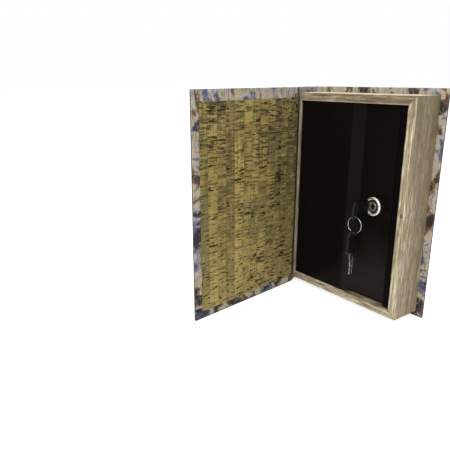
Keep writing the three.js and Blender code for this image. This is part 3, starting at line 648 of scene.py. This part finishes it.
def lathe(name, profile, mats, matrix, seg=72, pick=None):
    """profile in radius, y; turned about the y axis. A radius of 0 closes on the axis."""
    verts, faces, rings = [], [], []
    for r, y in profile:
        if r < 1e-6:
            rings.append([len(verts)])
            verts.append((0, y, 0))
        else:
            rings.append(list(range(len(verts), len(verts) + seg)))
            for i in range(seg):
                a = 2 * math.pi * i / seg
                verts.append((r * math.cos(a), y, r * math.sin(a)))
    pairs = list(zip(rings, rings[1:]))
    if len(rings[0]) > 1:
        pairs.append((rings[-1], rings[0]))
    for a, b in pairs:
        for i in range(seg):
            j = (i + 1) % seg
            if len(a) == 1 and len(b) == 1:
                continue
            if len(a) == 1:
                faces.append((a[0], b[i], b[j]))
            elif len(b) == 1:
                faces.append((a[i], a[j], b[0]))
            else:
                faces.append((a[i], a[j], b[j], b[i]))
    return add(name, verts, faces, mats, matrix, pick)


def fillet(points, radii, steps=4):
    """Rounds the corners of a closed outline. radii is one number or one per point; 0 keeps a corner sharp."""
    n = len(points)
    if not isinstance(radii, (list, tuple)):
        radii = [radii] * n
    out = []
    for i in range(n):
        p, a, b = Vector(points[i]), Vector(points[i - 1]), Vector(points[(i + 1) % n])
        r = radii[i]
        d1, d2 = (a - p), (b - p)
        if r <= 0 or d1.length < 1e-9 or d2.length < 1e-9:
            out.append((p.x, p.y))
            continue
        e1, e2 = d1.normalized(), d2.normalized()
        half = math.acos(max(-1, min(1, e1.dot(e2)))) / 2
        if half > math.radians(89):
            out.append((p.x, p.y))
            continue
        t = min(r / math.tan(half), d1.length * 0.49, d2.length * 0.49)
        rr = t * math.tan(half)
        c = p + (e1 + e2).normalized() * (rr / math.sin(half))
        v1, v2 = p + e1 * t - c, p + e2 * t - c
        turn = math.atan2(v1.x * v2.y - v1.y * v2.x, v1.dot(v2))
        for k in range(steps + 1):
            s, co = math.sin(turn * k / steps), math.cos(turn * k / steps)
            out.append((c.x + v1.x * co - v1.y * s, c.y + v1.x * s + v1.y * co))
    return out


def rounded_slab(name, x0, x1, y0, y1, z0, z1, r, mats, matrix, pick=None, corner=1.2, seg=3):
    """A board with softened edges and slightly rounded corners."""
    bm = bmesh.new()
    vs = [bm.verts.new((x * MM, y * MM, z * MM)) for x in (x0, x1) for y in (y0, y1) for z in (z0, z1)]
    for f in ((0, 1, 3, 2), (4, 6, 7, 5), (0, 4, 5, 1), (2, 3, 7, 6), (0, 2, 6, 4), (1, 5, 7, 3)):
        bm.faces.new([vs[i] for i in f])
    bmesh.ops.recalc_face_normals(bm, faces=bm.faces)
    thin = [e for e in bm.edges if abs((e.verts[0].co - e.verts[1].co).y) > 1e-9]
    if corner:
        bmesh.ops.bevel(bm, geom=thin, offset=corner * MM, segments=4, profile=0.5, affect="EDGES")
    rim = [e for e in bm.edges if abs((e.verts[0].co - e.verts[1].co).y) < 1e-9 and any(abs(f.normal.y) > 0.9 for f in e.link_faces) and any(abs(f.normal.y) < 0.1 for f in e.link_faces)]
    bmesh.ops.bevel(bm, geom=rim, offset=r * MM, segments=seg, profile=0.5, affect="EDGES")
    me = bpy.data.meshes.new(name)
    bm.to_mesh(me)
    bm.free()
    for k in mats:
        me.materials.append(MAT[k])
    if pick:
        for poly in me.polygons:
            poly.material_index = pick(poly.center / MM, poly.normal)
    obj = bpy.data.objects.new(name, me)
    bpy.context.scene.collection.objects.link(obj)
    obj.matrix_world = matrix
    return finish_mesh(obj)


def apply_modifiers(obj):
    bpy.context.view_layer.update()
    dg = bpy.context.evaluated_depsgraph_get()
    me = bpy.data.meshes.new_from_object(obj.evaluated_get(dg), preserve_all_data_layers=True, depsgraph=dg)
    old = obj.data
    obj.modifiers.clear()
    obj.data = me
    bpy.data.meshes.remove(old)
    return obj


def carve(obj, *cutters):
    """Cuts the cutters out of obj and removes them."""
    for c in cutters:
        b = obj.modifiers.new("cut", "BOOLEAN")
        b.operation = "DIFFERENCE"
        b.solver = "EXACT"
        b.object = c
    apply_modifiers(obj)
    for c in cutters:
        me = c.data
        bpy.data.objects.remove(c)
        bpy.data.meshes.remove(me)
    return obj


def cad_look(node, material, bevel=0.0, segments=2):
    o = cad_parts[node]
    o.data.materials.clear()
    o.data.materials.append(MAT[material])
    if bevel:
        w = o.modifiers.new("join", "WELD")
        w.merge_threshold = 0.00002
        b = o.modifiers.new("edges", "BEVEL")
        b.width = bevel * MM
        b.segments = segments
        b.limit_method = "ANGLE"
        b.angle_limit = math.radians(35)
        n = o.modifiers.new("normals", "WEIGHTED_NORMAL")
        n.keep_sharp = False
    return o


def place(obj, body, slot, *nodes):
    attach(obj, body)
    if nodes:
        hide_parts(*nodes)
    return obj


# ---------- page block frame ----------
B0, B1, W, D = 6.85, 258.15, 167.3, 42.5
IX0, IX1, IZ0, IZ1 = 3.7, 157.35, 16.35, 248.45
g = 0.06
members = {
    "frame_left": ([(0, B0 + g), (IX0, IZ0 + g), (IX0, IZ1 - g), (0, B1 - g)], "wood_z"),
    "frame_right": ([(IX1, IZ0 + g), (W, B0 + g), (W, B1 - g), (IX1, IZ1 - g)], "wood_z"),
    "frame_bottom": ([(g, B0), (W - g, B0), (IX1 - g, IZ0), (IX0 + g, IZ0)], "wood_x"),
    "frame_top": ([(IX0 + g, IZ1), (IX1 - g, IZ1), (W - g, B1), (g, B1)], "wood_x"),
}
for key, (outline, mat) in members.items():
    # painted light and shade: the left member takes the shaded copy of the wood, the front face of the right member and
    # the top face of the top member take lit copies
    mats = {"frame_left": ["wood_left_painted_shade"], "frame_right": [mat, "wood_front_painted_light"], "frame_top": [mat, "wood_top_painted_light"]}.get(key, [mat])
    up = key == "frame_top"
    o = prism(key + "_member", outline, 0.0, D, mats, axis="y", pick=lambda c, n: 1 if len(mats) > 1 and (n.z > 0.9 if up else n.y < -0.5) else 0)
    if key == "frame_right":
        hole = lathe("cutter", [(0, -1), (2.15, -1), (2.15, 2.6), (0, 2.6)], [mat], SHIFT @ Matrix.Translation(Vector((162.7, 0, 130.8)) * MM), 40)
        carve(o, hole)
    finish_mesh(o, 0.35, 2)
    place(o, "book", "frame_wood", key)

o = lathe("closure_magnet", [(0, 0.10), (1.6, 0.10), (1.85, 0.18), (1.98, 0.35), (2.0, 0.6), (2.0, 2.4), (0, 2.4)], ["magnet"],
          SHIFT @ Matrix.Translation(Vector((162.7, 0, 130.8)) * MM), 40)
place(finish_mesh(o), "book", "magnet", "frame_magnet")


# ---------- covers ----------
def front_pick(c, n):
    return 1 if n.y > 0.35 else 0


def back_pick(c, n):
    return 1 if n.y < -0.35 else 0


o = rounded_slab("front_cover_case", 6.8, 176.2, N0 - 3.4, N0 - 0.62, 0.0, COVER_H, 0.95, ["front", "lining"], COVER, front_pick)
place(o, "front_cover", "cover_print", "front_cover_board", "front_cover_wrap")
o = rounded_slab("cork_lining_sheet", 2.0, 165.9, N0 - 0.60, N0 - 0.0, 9.6, 251.9, 0.16, ["cork"], COVER, None, corner=0.3, seg=2)
place(o, "front_cover", "cork", "cork_lining")
o = rounded_slab("back_cover_case", 6.0, 175.8, 42.62, 45.65, 0.0, COVER_H, 0.95, ["back", "lining_back"], SHIFT, back_pick)
place(o, "book", "cover_print", "back_cover_board", "back_cover_wrap")

# ---------- spine ----------
SR, SCX, SCY = 38.4, 27.8, 21.3


def band_out(z):
    h = 0.0
    for b in BANDS:
        t = abs(z - b) / 3.9
        if t < 1:
            h = max(h, 1.5 * (1 - t * t) ** 1.3)
    return h


def spine_station(r_out, r_in, y_lo, y_hi, k):
    outer, inner = [], []
    for i in range(k + 1):
        y = y_lo + (y_hi - y_lo) * i / k
        outer.append((SCX - math.sqrt(r_out ** 2 - (y - SCY) ** 2), y))
        inner.append((SCX - math.sqrt(r_in ** 2 - (y - SCY) ** 2), y))
    return outer, inner


zs = [0.0, 0.25, 0.8, 1.8]
z = 3.0
while z < COVER_H - 2.5:
    near = min(abs(z - b) for b in BANDS)
    zs.append(z)
    z += 0.65 if near < 5.0 else 3.0
zs += [COVER_H - 1.8, COVER_H - 0.8, COVER_H - 0.25, COVER_H]
K = 30
verts, faces, rows = [], [], []
for z in zs:
    e = min(z, COVER_H - z)
    turn = 0.9 * (1 - min(1.0, e / 0.9)) ** 2          # rounded head and tail
    ro = SR + band_out(z) - turn
    ri = SR - 2.6 + turn * 0.6
    ys = []
    out, inn = [], []
    for i in range(K + 1):
        t = i / K
        y = -3.1 + 47.7 * t
        side = max(0.0, 1 - min(t, 1 - t) / 0.07)
        thin = 1 - side ** 2 * 0.75                    # tapers to the joints at both sides
        mid = SR - 0.45
        rr = mid + (ro - mid) * (1 if band_out(z) == 0 else thin)
        rn = mid - (mid - ri) * thin
        out.append((SCX - math.sqrt(rr ** 2 - (y - SCY) ** 2), y, z))
        inn.append((SCX - math.sqrt(rn ** 2 - (y - SCY) ** 2), y, z))
    row = list(range(len(verts), len(verts) + 2 * (K + 1)))
    verts += out + inn[::-1]
    rows.append(row)
for a, b in zip(rows, rows[1:]):
    n = len(a)
    for i in range(n):
        j = (i + 1) % n
        faces.append((a[i], a[j], b[j], b[i]))
for row in (rows[0], rows[-1]):
    n = len(row)
    for i in range(K):
        faces.append((row[i], row[i + 1], row[n - 2 - i], row[n - 1 - i]))
o = add("spine_case", verts, faces, ["spine", "lining_back"], SHIFT,
        lambda c, n: 1 if (Vector((c.x - SCX, c.y - SCY)).length < SR - 1.3 and n.x > 0.3) else 0)
finish_mesh(o)
place(o, "book", "cover_print", "spine_board", "spine_wrap")


# ---------- flexible joints ----------
def strip_profile(centre, half):
    """A closed outline around a polyline of (x, y) with the given half thickness."""
    left, right = [], []
    n = len(centre)
    for i, c in enumerate(centre):
        a = Vector(centre[max(0, i - 1)])
        b = Vector(centre[min(n - 1, i + 1)])
        t = (b - a).normalized()
        nrm = Vector((-t.y, t.x))
        h = half * (0.55 if i in (0, n - 1) else 1.0)
        left.append((c[0] + nrm.x * h, c[1] + nrm.y * h))
        right.append((c[0] - nrm.x * h, c[1] - nrm.y * h))
    return left + right[::-1]


def smooth_line(points, steps=5):
    """Catmull-Rom through the points."""
    out = []
    n = len(points)
    for i in range(n - 1):
        p0, p1, p2, p3 = (Vector(points[max(0, min(n - 1, k))]) for k in (i - 1, i, i + 1, i + 2))
        for s in range(steps):
            t = s / steps
            q = 0.5 * ((2 * p1) + (p2 - p0) * t + (2 * p0 - 5 * p1 + 4 * p2 - p3) * t * t + (3 * p1 - p0 - 3 * p2 + p3) * t ** 3)
            out.append((q.x, q.y))
    out.append(tuple(points[-1]))
    return out


ca, sa = math.cos(math.radians(OPEN_DEG)), math.sin(math.radians(OPEN_DEG))


def on_cover(u, n):
    """Cover-local station to page-block x, y."""
    y = N0 - n
    return (HINGE[0] + u * ca + y * sa, HINGE[1] - u * sa + y * ca)


path = [(-2.6, -1.3), (-1.95, -2.2), (-1.45, -2.75), on_cover(0.45, 2.25), on_cover(1.3, 1.95), on_cover(2.4, 1.55), on_cover(3.7, 1.45), on_cover(5.0, 1.85), on_cover(6.1, 2.5), on_cover(7.3, 2.9)]
outline = strip_profile(smooth_line(path, 4), 0.36)
cuts = [0.25 + 264.5 * i / 24 for i in range(1, 24)]
o = prism("front_joint_cloth", outline, 0.25, 264.75, ["cloth", "lining"], SHIFT, pick=lambda c, n: 1 if n.x > 0.3 else 0, cuts=cuts)
finish_mesh(o, 0.0)
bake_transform(o)
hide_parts("front_joint_strip")

path = [(-2.75, 43.7), (-1.9, 44.05), (-1.0, 43.75), (0.4, 43.15), (2.0, 42.95), (3.6, 43.1), (5.0, 43.9), (6.4, 44.9), (7.4, 45.1)]
outline = strip_profile(smooth_line(path, 4), 0.34)
o = prism("back_joint_cloth", outline, 0.25, 264.75, ["cloth", "lining_back"], SHIFT, pick=lambda c, n: 1 if n.y < -0.3 else 0, cuts=cuts)
finish_mesh(o, 0.0)
place(o, "book", "cover_print", "back_joint_strip")


# ---------- steel box ----------
S = 1.2
body = fillet([(4.1, 6.5), (5.3, 6.5), (5.3, 41.0), (155.8, 41.0), (155.8, 1.2), (157.0, 1.2), (157.0, 42.2), (4.1, 42.2)],
              [0, 0, 0.5, 0.5, 0, 0, 1.7, 1.7], 5)
o = prism("box_wall", body, 18.15, 246.65, ["box"])
finish_mesh(o, 0.18, 2)
place(o, "book", "box_steel", "box_body")
strike = fillet([(148.0, 1.2), (155.5, 1.2), (155.5, 2.4), (149.2, 2.4), (149.2, 25.0), (148.0, 25.0)], [1.5, 0, 0, 0.35, 0, 0], 5)
o = prism("strike_sheet", strike, 18.15, 246.65, ["box"])
finish_mesh(o, 0.16, 2)
place(o, "book", "box_steel", "strike_strip")
cad_look("box_bottom", "box", 0.2)
cad_look("box_top", "box", 0.2)
cad_look("hinge_pin_lower", "box", 0.25)
cad_look("hinge_pin_upper", "box", 0.25)
cad_look("cover_keeper", "magnet", 0.1)


def screw(name, head_x, tip_x, z):
    s = 1 if tip_x > head_x else -1
    length = abs(tip_x - head_x)
    prof = [(0, 0), (1.4, 0.0), (2.2, 0.12), (2.75, 0.5), (2.98, 1.0), (3.0, 1.6), (1.25, 1.6)]
    y = 1.9
    while y < length - 1.2:
        prof += [(1.25, y), (1.58, y + 0.3), (1.25, y + 0.6)]
        y += 0.9
    prof += [(1.15, length - 0.9), (0.4, length - 0.2), (0, length - 0.05)]
    rot = Matrix.Rotation(-math.pi / 2 * s, 4, "Z")
    mtx = SHIFT @ Matrix.Translation(Vector((head_x, 33.0, z)) * MM) @ rot
    o = lathe(name, prof, ["zinc"], mtx, 36)
    bars = []
    for a in (0, 1):
        w, h = (1.75, 0.36) if a == 0 else (0.36, 1.75)
        bars.append(prism("cutter", [(-w, -1.0), (w, -1.0), (w * 0.75, 1.1), (-w * 0.75, 1.1)], -h, h, ["zinc"], mtx))
    carve(o, bars[0])
    carve(o, bars[1])
    finish_mesh(o, 0.0)
    return o


for i, z in enumerate((60, 205)):
    for side, hx, tx in (("left", 7.2, 1.3), ("right", 153.9, 161.3)):
        node = f"box_screw_{side}_{i + 1}"
        place(screw(node + "_phillips", hx, tx, z), "book", "zinc", node)


# ---------- door ----------
def sheet_from_path(name, path, halves, rows, present, mats, matrix=SHIFT):
    """Folded sheet: a path in x, y with a half thickness at each point, in rows along z. present(i, k) says which cells exist."""
    n, kz = len(path), len(rows)
    left, right = [], []
    for i in range(n):
        a, b = Vector(path[max(0, i - 1)]), Vector(path[min(n - 1, i + 1)])
        t = (b - a).normalized()
        nrm = Vector((-t.y, t.x))
        left.append((path[i][0] + nrm.x * halves[i], path[i][1] + nrm.y * halves[i]))
        right.append((path[i][0] - nrm.x * halves[i], path[i][1] - nrm.y * halves[i]))
    used, verts, faces = {}, [], []

    def vid(i, k, s):
        if (i, k, s) not in used:
            q = left[i] if s == 0 else right[i]
            used[(i, k, s)] = len(verts)
            verts.append((q[0], q[1], rows[k]))
        return used[(i, k, s)]

    def has(i, k):
        return 0 <= i < n - 1 and 0 <= k < kz - 1 and present(i, k)

    for k in range(kz - 1):
        for i in range(n - 1):
            if not has(i, k):
                continue
            faces.append((vid(i, k, 0), vid(i + 1, k, 0), vid(i + 1, k + 1, 0), vid(i, k + 1, 0)))
            faces.append((vid(i, k, 1), vid(i, k + 1, 1), vid(i + 1, k + 1, 1), vid(i + 1, k, 1)))
            if not has(i - 1, k):
                faces.append((vid(i, k, 0), vid(i, k + 1, 0), vid(i, k + 1, 1), vid(i, k, 1)))
            if not has(i + 1, k):
                faces.append((vid(i + 1, k, 0), vid(i + 1, k, 1), vid(i + 1, k + 1, 1), vid(i + 1, k + 1, 0)))
            if not has(i, k - 1):
                faces.append((vid(i, k, 0), vid(i, k, 1), vid(i + 1, k, 1), vid(i + 1, k, 0)))
            if not has(i, k + 1):
                faces.append((vid(i, k + 1, 0), vid(i + 1, k + 1, 0), vid(i + 1, k + 1, 1), vid(i, k + 1, 1)))
    return add(name, verts, faces, mats, matrix)


def round_path(points, r, steps=6):
    """Rounds the inner corners of an open path. r is one radius or one per corner."""
    radii = r if isinstance(r, (list, tuple)) else [r] * (len(points) - 2)
    out = [tuple(points[0])]
    for i in range(1, len(points) - 1):
        p, a, b = Vector(points[i]), Vector(points[i - 1]), Vector(points[i + 1])
        e1, e2 = (a - p).normalized(), (b - p).normalized()
        half = math.acos(max(-1, min(1, e1.dot(e2)))) / 2
        t = min(radii[i - 1] / math.tan(half), (a - p).length * 0.49, (b - p).length * 0.49)
        rr = t * math.tan(half)
        c = p + (e1 + e2).normalized() * (rr / math.sin(half))
        v1, v2 = p + e1 * t - c, p + e2 * t - c
        turn = math.atan2(v1.x * v2.y - v1.y * v2.x, v1.dot(v2))
        for k in range(steps + 1):
            s, co = math.sin(turn * k / steps), math.cos(turn * k / steps)
            out.append((c.x + v1.x * co - v1.y * s, c.y + v1.x * s + v1.y * co))
    out.append(tuple(points[-1]))
    return out


curl = []
for i in range(25):
    a = math.radians(-380 + 290 * i / 24)
    curl.append((6.9 + 2.08 * math.cos(a), 2.8 + 2.08 * math.sin(a)))
flat = round_path([(12.1, 0.9), (86.83, 0.9), (98.83, 8.6), (146.7, 8.6), (146.7, 13.2)], (4.5, 4.5, 1.7), 6)
door_path = curl + [(9.2, 0.8)] + flat
halves = [0.42] * len(curl) + [0.50] + [0.6] * len(flat)
first = len(curl) + 1
rows = [16.95, 19.95, 60.0, 132.0, 200.0, 244.85, 247.85]
o = sheet_from_path("door_sheet", door_path, halves, rows, lambda i, k: i >= first or 0 < k < len(rows) - 2, ["door"])
hole = lathe("cutter", [(0, 4), (8.35, 4), (8.35, 12), (0, 12)], ["door"], SHIFT @ Matrix.Translation(Vector((LOCK[0], 0, LOCK[1])) * MM), 64)
carve(o, hole)
finish_mesh(o, 0.14, 2, 38)
place(o, "door", "box_steel", "door_panel")

# ---------- cam lock ----------
LK = SHIFT @ Matrix.Translation(Vector((LOCK[0], 0, LOCK[1])) * MM)
prof = [(6.15, 6.95), (7.10, 6.95), (7.35, 6.6), (7.65, 5.6), (7.95, 4.85), (8.45, 4.42), (9.2, 4.3), (9.95, 4.40), (10.6, 4.72), (11.1, 5.2), (11.45, 5.85), (11.62, 6.5), (11.66, 7.1), (11.66, 7.55), (11.5, 7.7), (8.0, 7.7)]
y = 10.0
while y < 24.0:
    prof += [(8.0, y), (7.62, y + 0.45), (8.0, y + 0.9)]
    y += 1.25
prof += [(8.0, 24.9), (7.7, 25.3), (6.15, 25.3)]
# the recess material is painted shade in the moat inside the flange
o = lathe("lock_housing", prof, ["chrome", "recess_painted_shade"], LK, 96, lambda c, n: 1 if math.hypot(c.x, c.z) < 7.7 and c.y < 7.2 else 0)
place(finish_mesh(o), "door", "lock_chrome", "lock_body")

prof = [(0, 5.42), (2.9, 5.42), (3.1, 5.15), (3.6, 5.08), (4.7, 5.0), (5.2, 4.9), (5.55, 5.05), (5.75, 5.4), (5.8, 5.9), (5.8, 25.3), (5.5, 25.6), (0, 25.6)]
# the recess material is painted shade on the centre of the plug face around the keyway
o = lathe("lock_core", prof, ["core", "recess_painted_shade"], LK, 72, lambda c, n: 1 if math.hypot(c.x, c.z) < 3.1 and c.y < 5.6 else 0)
tail = prism("cutter", [(-3.2, -2.6), (-2.6, -3.2), (2.6, -3.2), (3.2, -2.6), (3.2, 2.6), (2.6, 3.2), (-2.6, 3.2), (-3.2, 2.6)], 25.0, 28.6, ["core"], LK, axis="y")
b = o.modifiers.new("fuse", "BOOLEAN")
b.operation = "UNION"
b.solver = "EXACT"
b.object = tail
apply_modifiers(o)
me = tail.data
bpy.data.objects.remove(tail)
bpy.data.meshes.remove(me)
slot_cut = prism("cutter", fillet([(-1.2, -3.4), (1.2, -3.4), (1.2, 3.4), (-1.2, 3.4)], 0.5, 3), 3.0, 24.0, ["core"], LK, axis="y")
screw_cut = lathe("cutter", [(0, 24.6), (1.95, 24.6), (1.95, 30.0), (0, 30.0)], ["core"], LK, 32)
carve(o, slot_cut)
carve(o, screw_cut)
finish_mesh(o, 0.10, 2)
place(o, "plug", "lock_chrome", "lock_plug")
cad_look("lock_washer", "zinc", 0.08)
cad_look("lock_nut", "zinc", 0.3)
cad_look("lock_cam", "zinc", 0.2)
cad_look("cam_screw", "zinc", 0.2)


# ---------- keys ----------
def basis(x, y):
    x, y = Vector(x), Vector(y)
    z = x.cross(y)
    return Matrix((x, y, z)).transposed().to_4x4()


BOW_L, BOW_W, BOW_T = 27.5, 23.0, 3.5


def rounded(x0, x1, y0, y1, r, seg=8, r0=None):
    """Outline of a plate. r rounds the two corners at x1, r0 those at x0."""
    r0 = r if r0 is None else r0
    out = []
    for cx, cy, a0, q in ((x1 - r, y0 + r, -90, r), (x1 - r, y1 - r, 0, r), (x0 + r0, y1 - r0, 90, r0), (x0 + r0, y0 + r0, 180, r0)):
        for i in range(seg + 1):
            a = math.radians(a0 + 90 * i / seg)
            out.append((cx + q * math.cos(a), cy + q * math.sin(a)))
    return out


def bow(name, matrix):
    """Moulded key head: well rounded rim, a slot for the ring and a pocket for the blade."""
    outline = rounded(0.0, BOW_L, -BOW_W / 2, BOW_W / 2, 8.0, 14, 3.5)
    o = prism(name, outline, -BOW_T / 2, BOW_T / 2, ["plastic"], matrix)
    b = o.modifiers.new("rim", "BEVEL")
    b.width = 1.3 * MM
    b.segments = 6
    b.limit_method = "ANGLE"
    b.angle_limit = math.radians(60)
    slot = prism("cutter", rounded(19.9, 25.5, -8.5, 8.5, 4.2, 8, 1.2), -3.0, 3.0, ["plastic"], matrix)
    pocket = prism("cutter", [(-1.0, -5.75), (6.3, -5.75), (6.3, 5.75), (-1.0, 5.75)], -1.12, 1.12, ["plastic"], matrix)
    carve(o, slot)
    carve(o, pocket)
    return finish_mesh(o, 0.22, 2, 38)


def shank(name, matrix):
    """Stamped blade: cuts on both edges, a milled groove on each side."""
    off, hw, nk, e = 1.25, 3.0, 5.5, -26.5
    lo, hi = off - hw, off + hw
    pts = [(6.0, -nk), (6.0, nk), (-6.0, nk), (-6.8, nk - 0.8), (-6.8, hi),
           (-8.8, hi), (-9.6, hi - 0.5), (-11.0, hi - 0.5), (-11.8, hi - 0.05), (-13.0, hi - 0.45), (-14.2, hi - 0.45), (-15.2, hi - 0.85), (-16.8, hi - 0.85), (-17.9, hi - 0.1), (-19.0, hi - 0.1),
           (-20.0, hi - 0.6), (-21.4, hi - 0.6), (-22.4, hi), (-24.6, hi), (-25.9, hi - 0.9), (e, hi - 1.9), (e, lo + 1.9), (-25.9, lo + 0.9), (-24.6, lo),
           (-21.6, lo), (-20.4, lo + 0.6), (-19.0, lo + 0.6), (-17.8, lo + 0.1), (-16.6, lo + 0.8), (-15.0, lo + 0.8), (-13.6, lo + 0.2), (-12.2, lo + 0.5), (-10.8, lo + 0.5), (-9.6, lo), (-6.8, lo), (-6.8, -nk + 0.8), (-6.0, -nk)]
    o = prism(name, pts[::-1], -0.8, 0.8, ["key"], matrix)
    g1 = prism("cutter", [(-30, off - 1.35), (-4.5, off - 1.35), (-4.5, off - 0.35), (-30, off - 0.35)], 0.34, 1.4, ["key"], matrix)
    g2 = prism("cutter", [(-30, off + 0.35), (-4.5, off + 0.35), (-4.5, off + 1.35), (-30, off + 1.35)], -1.4, -0.34, ["key"], matrix)
    carve(o, g1)
    carve(o, g2)
    return finish_mesh(o, 0.09, 2)


KEY1 = SHIFT @ Matrix.Translation(Vector((LOCK[0], -2.8, LOCK[1] - 1.25)) * MM) @ basis((0, -1, 0), (0, 0, 1))
KEY2 = SHIFT @ Matrix.Translation(Vector((LOCK[0], RING_Y, PIVOT_Z - 24.3)) * MM) @ basis((0, 0, 1), (0, -1, 0))
place(bow("key_1_bow", KEY1), "key", "key_plastic", "key_1_head")
place(shank("key_1_shank", KEY1), "key", "key_steel", "key_1_blade")
place(bow("key_2_bow", KEY2), "spare_key", "key_plastic", "key_2_head")
place(shank("key_2_shank", KEY2), "spare_key", "key_steel", "key_2_blade")

# ---------- split ring ----------
verts, faces = [], []
turns, steps, sides, rw = 2.0, 192, 14, 0.28
for i in range(steps + 1):
    t = i / steps
    a = 2 * math.pi * turns * t + math.radians(205)
    y = -0.28 + 0.56 * min(1.0, max(0.0, (t - 0.44) / 0.12))
    c = Vector((9.28 * math.cos(a), y, 9.28 * math.sin(a)))
    rad = Vector((math.cos(a), 0, math.sin(a)))
    end = min(t, 1 - t) * steps
    k = rw * (0.55 if end < 0.5 else 0.85 if end < 1.5 else 1.0)
    for j in range(sides):
        b = 2 * math.pi * j / sides
        q = c + rad * (k * 1.25 * math.cos(b)) + Vector((0, k * math.sin(b), 0))
        verts.append(tuple(q))
for i in range(steps):
    for j in range(sides):
        jj = (j + 1) % sides
        faces.append((i * sides + j, i * sides + jj, (i + 1) * sides + jj, (i + 1) * sides + j))
faces.append(tuple(range(sides)))
faces.append(tuple(range(steps * sides, (steps + 1) * sides)))
o = add("split_ring", verts, faces, ["ring"], SHIFT @ Matrix.Translation(Vector((LOCK[0], RING_Y, RING_Z)) * MM))
place(finish_mesh(o), "ring", "key_steel", "key_ring")

# ---------------------------------------------------------------------------
# stage, light and camera
# ---------------------------------------------------------------------------
m = Mat("studio_floor", rough=0.75)
n = m.noise(m.mm(), 0.01, 2, 0.5)
m.set("Base Color", m.mix(n, (0.66, 0.66, 0.656, 1), (0.70, 0.70, 0.696, 1)))
m.b.inputs["Emission Color"].default_value = (1.0, 1.0, 1.0, 1.0)
m.b.inputs["Emission Strength"].default_value = 0.62       # lit from below as on a light table
bpy.context.view_layer.update()
me = bpy.data.meshes.new("studio_floor")
bm = bmesh.new()
bmesh.ops.create_grid(bm, x_segments=2, y_segments=2, size=12.0)
bm.to_mesh(me)
bm.free()
me.materials.append(m.m)
floor = bpy.data.objects.new("studio_floor", me)
bpy.context.scene.collection.objects.link(floor)
floor.location = (0, 0, -0.0002)

world = bpy.context.scene.world or bpy.data.worlds.new("studio")
bpy.context.scene.world = world
world.use_nodes = True
bg = next(x for x in world.node_tree.nodes if x.type == "BACKGROUND")
bg.inputs[0].default_value = (0.98, 0.99, 1.0, 1.0)
bg.inputs[1].default_value = 1.0


def softbox(name, where, aim, size, power, colour=(1, 1, 1)):
    light = bpy.data.lights.new(name, "AREA")
    light.shape = "RECTANGLE"
    light.size, light.size_y = size
    light.energy = power
    light.color = colour
    o = bpy.data.objects.new(name, light)
    bpy.context.scene.collection.objects.link(o)
    o.location = where
    d = Vector(aim) - Vector(where)
    o.rotation_euler = d.to_track_quat("-Z", "Y").to_euler()
    return o


softbox("key_light", (0.55, -1.5, 0.85), (0.0, -0.05, 0.12), (0.9, 0.9), 20.0)
softbox("side_light", (1.3, -0.2, 0.5), (0.0, -0.05, 0.12), (0.8, 0.8), 1.5)
softbox("top_light", (-0.1, -0.2, 1.3), (0.0, 0.0, 0.1), (1.2, 1.2), 4.0)

cam = bpy.data.cameras.new("camera")
cam.sensor_width = 36.0
cam.sensor_fit = "HORIZONTAL"
cam.lens = 490.156 * 36.0 / 450.0
cam.clip_start, cam.clip_end = 0.02, 60.0
camera = bpy.data.objects.new("camera", cam)
bpy.context.scene.collection.objects.link(camera)
F = Vector((-0.77071, 0.56881, -0.28716)).normalized()
R = Vector((0.59444, 0.80414, -0.00259)).normalized()
U = R.cross(F).normalized()
M4 = Matrix((R, U, -F)).transposed().to_4x4()
M4.translation = P(462.199, -460.112, 275.827)
camera.matrix_world = M4
bpy.context.scene.camera = camera
bpy.context.scene.view_settings.view_transform = "Standard"
bpy.context.scene.view_settings.look = "None"
